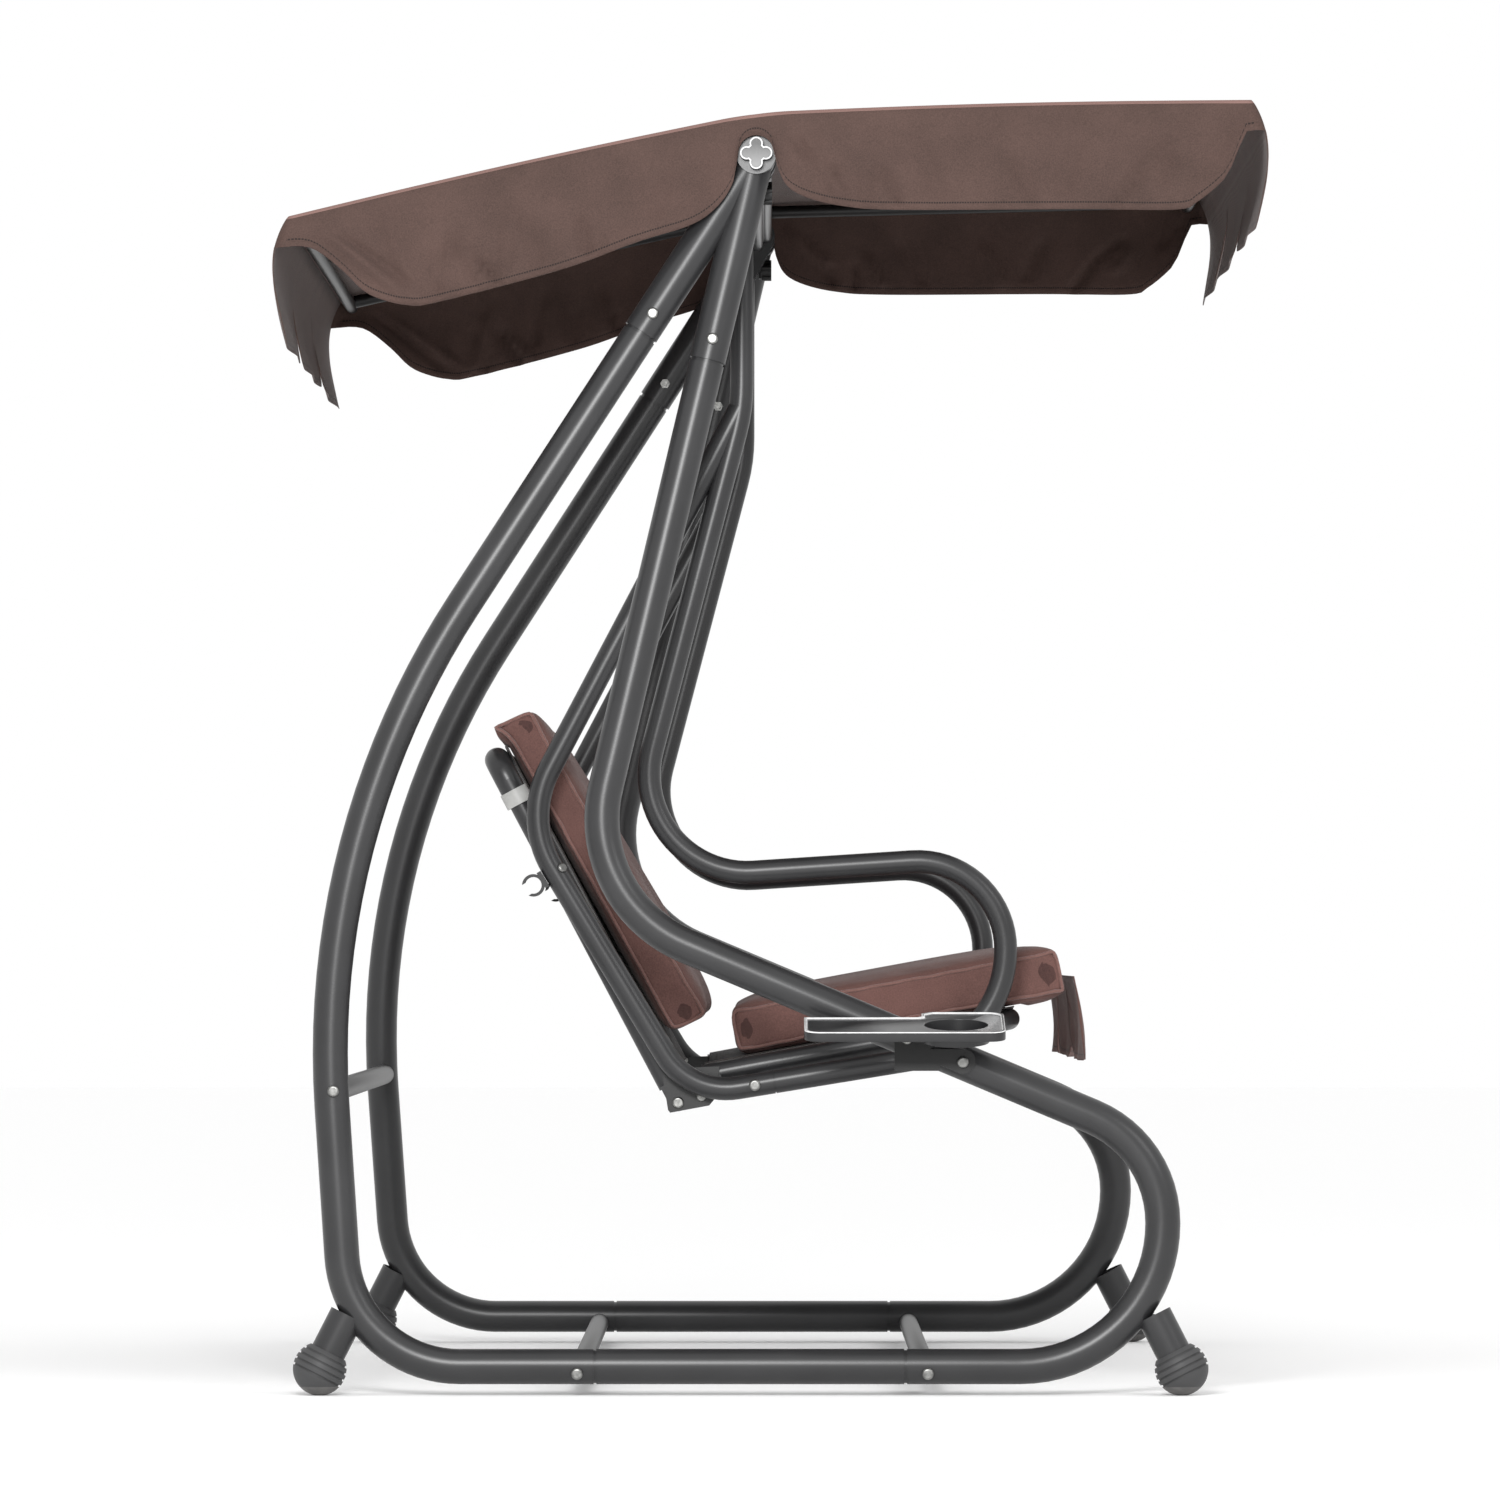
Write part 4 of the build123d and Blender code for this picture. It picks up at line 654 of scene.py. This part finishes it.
# ---- Seat and backrest cushions ----------------------------------------------------------------
# Box cushions in reddish brown polyester, filled with wadding. Cloth pressure swells the box a
# little, then the crown, the quilting seams, the flat underside and the corners are shaped.
cushion_cloth, tree, shader, where, tint, slub = woven(
    "cushion_cloth", (0.140, 0.068, 0.058), (0.084, 0.041, 0.035), 0.08, 0.0012)
cushion_y = calculate(tree, "ABSOLUTE", part_of(tree, where, "Y"))
on_side = calculate(tree, "GREATER_THAN", cushion_y, 0.679)
# Painted shade: the cushion's two end faces are multiplied down to about half brightness.
end_painted_shade = tree.nodes.new("ShaderNodeMix")
end_painted_shade.data_type = "RGBA"
end_painted_shade.blend_type = "MULTIPLY"
end_painted_shade.inputs["B"].default_value = (0.50, 0.47, 0.48, 1)
tree.links.new(on_side, end_painted_shade.inputs["Factor"])
tree.links.new(tint, end_painted_shade.inputs["A"])
tree.links.new(end_painted_shade.outputs["Result"], shader.inputs["Base Color"])
pucker_way = tree.nodes.new("ShaderNodeVectorMath")
pucker_way.operation = "DOT_PRODUCT"
pucker_way.inputs[1].default_value = (1.0, 0.0, 0.35)
tree.links.new(where, pucker_way.inputs[0])
wander = calculate(tree, "MULTIPLY", noise(tree, where, 26.0, 3.0), 9.0)
pucker = calculate(tree, "SINE", calculate(tree, "MULTIPLY_ADD", pucker_way.outputs["Value"],
                                           2 * math.pi / 0.0085, wander))
pucker_side = calculate(tree, "MULTIPLY", calculate(tree, "MULTIPLY", pucker, on_side),
                        noise(tree, where, 9.0, 2.0))
wrinkled = bump(tree, shader, pucker_side, 0.3, 0.0012, slub)
bump(tree, shader, noise(tree, where, 30.0, 4.0), 0.35, 0.006, wrinkled)

piping_cloth, tree, shader, where, tint, slub = woven(
    "piping_cloth", (0.190, 0.098, 0.085), (0.110, 0.056, 0.048), 0.3, 0.0012)
tree.links.new(tint, shader.inputs["Base Color"])

cushion_half = 0.684
settle_frames = 20
seam_depth = 0.011
seam_width = 0.010
corner_pinch = 0.0025
cord_r = 0.0026


def add_cushion(name, origin, along, out, outline, body, node, rest_lift, rest_end, cap, crown):
    """A filled cushion with the given (u, n) outline, swollen by cloth pressure."""
    start_shape = bmesh.new()
    sides = []
    for y in (-cushion_half, cushion_half):
        sides.append([start_shape.verts.new(local_place(origin, along, out, u, y, n))
                      for u, n in outline])
    start_shape.faces.new(sides[0])
    start_shape.faces.new(sides[1][::-1])
    for index in range(len(outline)):
        following = (index + 1) % len(outline)
        start_shape.faces.new((sides[0][index], sides[1][index], sides[1][following],
                               sides[0][following]))
    bmesh.ops.recalc_face_normals(start_shape, faces=start_shape.faces)
    cushion = new_piece(name, start_shape, cushion_cloth, body)
    bevel = cushion.modifiers.new("rounded", "BEVEL")
    bevel.width = 0.006
    bevel.segments = 3
    bevel.limit_method = "NONE"
    remesh = cushion.modifiers.new("remesh", "REMESH")
    remesh.mode = "VOXEL"
    remesh.voxel_size = 0.009
    apply_all(cushion)
    before = [vertex.co.copy() for vertex in cushion.data.vertices]
    swell = cushion.modifiers.new("swell", "CLOTH")
    swell.settings.quality = 4
    swell.settings.mass = 0.3
    swell.settings.tension_stiffness = 12
    swell.settings.compression_stiffness = 12
    swell.settings.bending_stiffness = 0.8
    swell.settings.use_pressure = True
    swell.settings.uniform_pressure_force = 4.0
    swell.settings.effector_weights.gravity = 0.0
    swell.collision_settings.use_collision = False
    swell.point_cache.frame_start = 1
    swell.point_cache.frame_end = settle_frames
    for step in range(1, settle_frames + 1):
        bpy.context.scene.frame_set(step)
    settled = cushion.evaluated_get(bpy.context.evaluated_depsgraph_get()).data
    swollen = [vertex.co.copy() for vertex in settled.vertices]
    cushion.modifiers.remove(swell)
    for vertex, rest, moved in zip(cushion.data.vertices, before, swollen):
        shift = moved - rest
        if shift.length > cap:
            shift *= cap / shift.length
        vertex.co = rest + shift
    bpy.context.scene.frame_set(1)
    surface = BVHTree.FromPolygons([v.co for v in cushion.data.vertices],
                                   [f.vertices for f in cushion.data.polygons])
    refine = cushion.modifiers.new("refine", "SUBSURF")
    refine.levels = refine.render_levels = 1
    apply_all(cushion)
    us = [u for u, n in outline]
    middle_u = (min(us) + max(us)) / 2
    half_u = (max(us) - min(us)) / 2
    front_n = max(n for u, n in outline)
    seam_ys = (-0.229, 0.229)
    for vertex in cushion.data.vertices:
        dx, dz = vertex.co.x - origin[0], vertex.co.z - origin[1]
        u = dx * along[0] + dz * along[1]
        n = dx * out[0] + dz * out[1]
        y = vertex.co.y
        face_share = min(1.0, max(0.0, (n - rest_lift) / (front_n - rest_lift)))
        seam = max(math.exp(-((y - seam_y) / seam_width) ** 2) for seam_y in seam_ys)
        seat_y = ((y + 0.229) % 0.458) / 0.458 if abs(y) < 0.229 else (
            (abs(y) - 0.229) / (cushion_half - 0.229))
        across = math.sin(math.pi * min(1.0, max(0.0, seat_y)))
        run = min(1.0, abs(u - middle_u) / half_u)
        puff = crown * across ** 0.6 * (1 - run ** 4)
        ease = face_share ** 3
        n += ease * (puff - seam_depth * seam * (1 - 0.5 * run))
        for corner_u, corner_n in outline:
            inward = math.hypot(u - corner_u, n - corner_n)
            if abs(y) > cushion_half - 0.02 and inward < 0.03:
                pinch = math.exp(-((inward - 0.010) / 0.014) ** 2)
                y -= math.copysign(corner_pinch * pinch, y)
        if n < rest_lift and u < rest_end:
            n = rest_lift
        vertex.co = local_place(origin, along, out, u, y, n)
    cushion.data.update()
    for face in cushion.data.polygons:
        face.use_smooth = True
    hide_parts(node)

    cords = []
    for y in (-cushion_half, cushion_half):
        loop = []
        for index, (u, n) in enumerate(outline):
            next_u, next_n = outline[(index + 1) % len(outline)]
            steps = max(2, int(math.hypot(next_u - u, next_n - n) / 0.010))
            for step in range(steps):
                share = step / steps
                wanted = local_place(origin, along, out, u + (next_u - u) * share, y,
                                     n + (next_n - n) * share)
                loop.append(surface.find_nearest(wanted)[0])
        cords.append(loop)
    cord = bpy.data.curves.new(name + "_piping", "CURVE")
    cord.dimensions = "3D"
    cord.bevel_depth = cord_r
    cord.bevel_resolution = 2
    for loop in cords:
        spline = cord.splines.new("POLY")
        spline.points.add(len(loop) - 1)
        count = len(loop)
        for index in range(count):
            smoothed = (loop[index - 1] + loop[index] * 2 + loop[(index + 1) % count]) / 4
            spline.points[index].co = (*smoothed, 1)
        spline.use_cyclic_u = True
    drawn = bpy.data.objects.new(name + "_drawn", cord)
    bpy.context.scene.collection.objects.link(drawn)
    piping_data = bpy.data.meshes.new_from_object(
        drawn.evaluated_get(bpy.context.evaluated_depsgraph_get()))
    bpy.data.objects.remove(drawn)
    piping = bpy.data.objects.new(name + "_piping", piping_data)
    bpy.context.scene.collection.objects.link(piping)
    piping_data.materials.clear()
    piping_data.materials.append(piping_cloth)
    for face in piping_data.polygons:
        face.use_smooth = True
    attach(piping, body)
    return cushion


seat_outline = ((0.0455, 0.0200), (0.5205, 0.0200), (0.5185, 0.0850), (0.0470, 0.0850))
add_cushion("seat_pad", seat_origin, seat_along, seat_out, seat_outline, "seat", "seat_cushion",
            rest_lift=0.0179, rest_end=0.46, cap=0.007, crown=0.007)
back_outline = ((0.0830, 0.0360), (0.5560, 0.0255), (0.5860, 0.0110), (0.5830, 0.0750),
                (0.0815, 0.0950))
add_cushion("back_pad", back_origin, back_along, back_out, back_outline, "backrest",
            "back_cushion", rest_lift=0.0228, rest_end=0.55, cap=0.007, crown=0.007)

# ---- Skirt -------------------------------------------------------------------------------------
# Three rounded tabs of the cushion's cloth with stitched hems, sewn under its front edge, where
# they hang free and swing out a little.
skirt_cloth, tree, shader, where, tint, slub = woven(
    "skirt_cloth", (0.125, 0.060, 0.051), (0.072, 0.035, 0.030), 0.08, 0.0012)
stitched(tree, shader, tint, slub, 0.008, 0.0035)
skirt_low, skirt_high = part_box("seat_skirt")
skirt_half = skirt_high.y
skirt_drop = skirt_high.z - skirt_low.z
skirt_x = local_place(seat_origin, seat_along, seat_out, 0.5262, 0, 0.044).x + 0.004
skirt_tab = 2 * skirt_half / 3
skirt_mesh = bmesh.new()
skirt_layers = [skirt_mesh.verts.layers.float.new(word) for word in ("hem", "edge", "along")]
for tab in range(3):
    grid = []
    for row in range(25):
        line = []
        for index in range(31):
            u = index / 30
            fall = skirt_drop * row / 24
            gap = 0.030 * min(1.0, max(0.0, (fall - 0.03) / 0.03))
            from_edge = min(u, 1 - u) * skirt_tab
            lift = 0.0
            if from_edge < 0.06:
                lift = 0.06 - math.sqrt(0.06 ** 2 - (0.06 - from_edge) ** 2)
            depth = fall * (1 - lift * 0.9 / skirt_drop)
            share = depth / skirt_drop
            y = (tab - 1.5) * skirt_tab + gap / 2 + u * (skirt_tab - gap)
            swing = 0.017 * math.sin(math.pi * 0.58 * share)
            swing += 0.006 * share * math.sin(5 * math.pi * u + tab * 1.7 + 0.6)
            swing -= 0.012 * share * (1 - math.sin(math.pi * u) ** 0.5)
            point = skirt_mesh.verts.new((skirt_x + swing, y, skirt_high.z - 0.001 - depth))
            free_edge = min(from_edge if fall > 0.05 else 0.3, (skirt_drop - fall))
            for layer, value in zip(skirt_layers, (free_edge, 0.3, y + depth)):
                point[layer] = value
            line.append(point)
        grid.append(line)
    for row, next_row in zip(grid, grid[1:]):
        for index in range(30):
            skirt_mesh.faces.new((row[index], next_row[index], next_row[index + 1],
                                  row[index + 1]))
bmesh.ops.remove_doubles(skirt_mesh, verts=skirt_mesh.verts, dist=0.0003)
skirt_area = sum(face.calc_area() for face in skirt_mesh.faces)
skirt = new_piece("cushion_skirt", skirt_mesh, skirt_cloth, "seat")
skirt_shell = skirt.modifiers.new("cloth", "SOLIDIFY")
skirt_shell.thickness = 0.0014
apply_all(skirt)
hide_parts("seat_skirt")

# ---- Cup trays ---------------------------------------------------------------------------------
# Injection-moulded trays beside the front legs: a smooth grey plate with a bright raised lip
# over a black skirt, notched for the leg, with a round cup well sunk through it.
tray_tilt = math.radians(10)
tray_middle = Vector((0.182, -(0.95 - 0.468 * math.tan(math.atan2(0.09, 1.654)) - 0.011
                               + 0.0775 * math.cos(tray_tilt)), 0.507))
tray_across = Vector((0, math.cos(tray_tilt), math.sin(tray_tilt)))
tray_up = Vector((0, -math.sin(tray_tilt), math.cos(tray_tilt)))
tray_edge, tree, shader, where = start_material("tray_edge", 0.22, 0.6)
edge_tint = ramp(tree, noise(tree, where, 90.0, 3.0), (0.3, (0.58, 0.58, 0.58)),
                 (0.7, (0.80, 0.80, 0.80)))
tree.links.new(edge_tint, shader.inputs["Base Color"])
bump(tree, shader, noise(tree, where, 500.0), 0.15, 0.0002)
tray_plate, tree, shader, where = start_material("tray_plate", 0.24, 0.6)
streaks = tree.nodes.new("ShaderNodeMapping")
streaks.inputs["Scale"].default_value = (4.0, 60.0, 60.0)
tree.links.new(where, streaks.inputs["Vector"])
plate_tint = ramp(tree, noise(tree, streaks.outputs["Vector"], 2.2, 6.0),
                  (0.3, (0.105, 0.105, 0.107)), (0.75, (0.21, 0.21, 0.212)))
tree.links.new(plate_tint, shader.inputs["Base Color"])
bump(tree, shader, noise(tree, where, 260.0, 3.0), 0.12, 0.0003)
tray_black = moulded("tray_black", (0.014, 0.014, 0.015), 0.32, 420.0)


def tray_point(a, b, h):
    """A point of the right tray: a forwards, b inwards, h above its lip."""
    return tray_middle + Vector((a, 0, 0)) + tray_across * b + tray_up * h


def tray_outline(inset):
    """The tray's outline from above, with rounded corners and the leg's notch."""
    half_a, half_b, corner = 0.136 - inset, 0.0775 - inset, 0.020
    notch_a = 0.160 + inset - 0.136
    notch_b = 0.0375 - inset
    turns = (((half_a - corner, corner - half_b), -90), ((half_a - corner, half_b - corner), 0))
    points = []
    for index in range(9):
        turn = math.radians(-180 + 90 * index / 8)
        points.append((corner - half_a + corner * math.cos(turn),
                       corner - half_b + corner * math.sin(turn)))
    for (centre_a, centre_b), start in turns:
        for index in range(9):
            turn = math.radians(start + 90 * index / 8)
            points.append((centre_a + corner * math.cos(turn),
                           centre_b + corner * math.sin(turn)))
    return points + [(notch_a + 0.012, half_b), (notch_a, half_b - 0.012),
                     (notch_a, notch_b + 0.006), (notch_a - 0.006, notch_b), (-half_a, notch_b)]


def prism(points, low, high):
    """A closed prism over an outline between two heights of the tray."""
    block = bmesh.new()
    rings = [[block.verts.new(tray_point(a, b, h)) for a, b in points] for h in (low, high)]
    block.faces.new(rings[0][::-1])
    block.faces.new(rings[1])
    for index in range(len(points)):
        following = (index + 1) % len(points)
        block.faces.new((rings[0][index], rings[0][following], rings[1][following],
                         rings[1][index]))
    bmesh.ops.recalc_face_normals(block, faces=block.faces)
    data = bpy.data.meshes.new("block")
    block.to_mesh(data)
    block.free()
    solid = bpy.data.objects.new("block", data)
    bpy.context.scene.collection.objects.link(solid)
    return solid


def circle_points(radius):
    """A circle round the cup well's middle."""
    return [(0.070 + radius * math.cos(turn), -0.004 + radius * math.sin(turn))
            for turn in [2 * math.pi * index / 72 for index in range(72)]]


right_tray = prism(tray_outline(0), -0.013, 0.0)
for action, points, low, high in (
        ("DIFFERENCE", tray_outline(0.0045), -0.003, 0.010),
        ("UNION", circle_points(0.0455), -0.0265, -0.006),
        ("DIFFERENCE", circle_points(0.0432), -0.0238, 0.010)):
    tool = prism(points, low, high)
    cut = right_tray.modifiers.new("shape", "BOOLEAN")
    cut.operation = action
    cut.object = tool
    cut.solver = "EXACT"
    apply_all(right_tray)
    bpy.data.objects.remove(tool)
soft_edges = right_tray.modifiers.new("soft_edges", "BEVEL")
soft_edges.width = 0.0009
soft_edges.segments = 3
soft_edges.limit_method = "ANGLE"
soft_edges.angle_limit = math.radians(40)
apply_all(right_tray)
for material in (tray_black, tray_edge, tray_plate):
    right_tray.data.materials.append(material)
for face in right_tray.data.polygons:
    away = face.center - tray_middle
    height = away.dot(tray_up)
    from_cup = math.hypot(away.x - 0.070, away.dot(tray_across) + 0.004)
    facing = face.normal.dot(tray_up)
    if height > -0.0022 and (from_cup > 0.046):
        face.material_index = 1
    elif facing > 0.5 and height > -0.006 and from_cup > 0.0436:
        face.material_index = 2
    face.use_smooth = True
right_tray.name = right_tray.data.name = "tray_moulding_right"
left_data = right_tray.data.copy()
left_tray = bpy.data.objects.new("tray_moulding_left", left_data)
bpy.context.scene.collection.objects.link(left_tray)
for vertex in left_data.vertices:
    vertex.co.y = -vertex.co.y
left_data.flip_normals()
for hand, tray in (("right", right_tray), ("left", left_tray)):
    bpy.ops.object.select_all(action="DESELECT")
    tray.select_set(True)
    bpy.context.view_layer.objects.active = tray
    bpy.ops.object.shade_smooth_by_angle(angle=math.radians(35))
    tray.select_set(False)
    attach(tray, "stand")
    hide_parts("cup_tray_" + hand)

low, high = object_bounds()
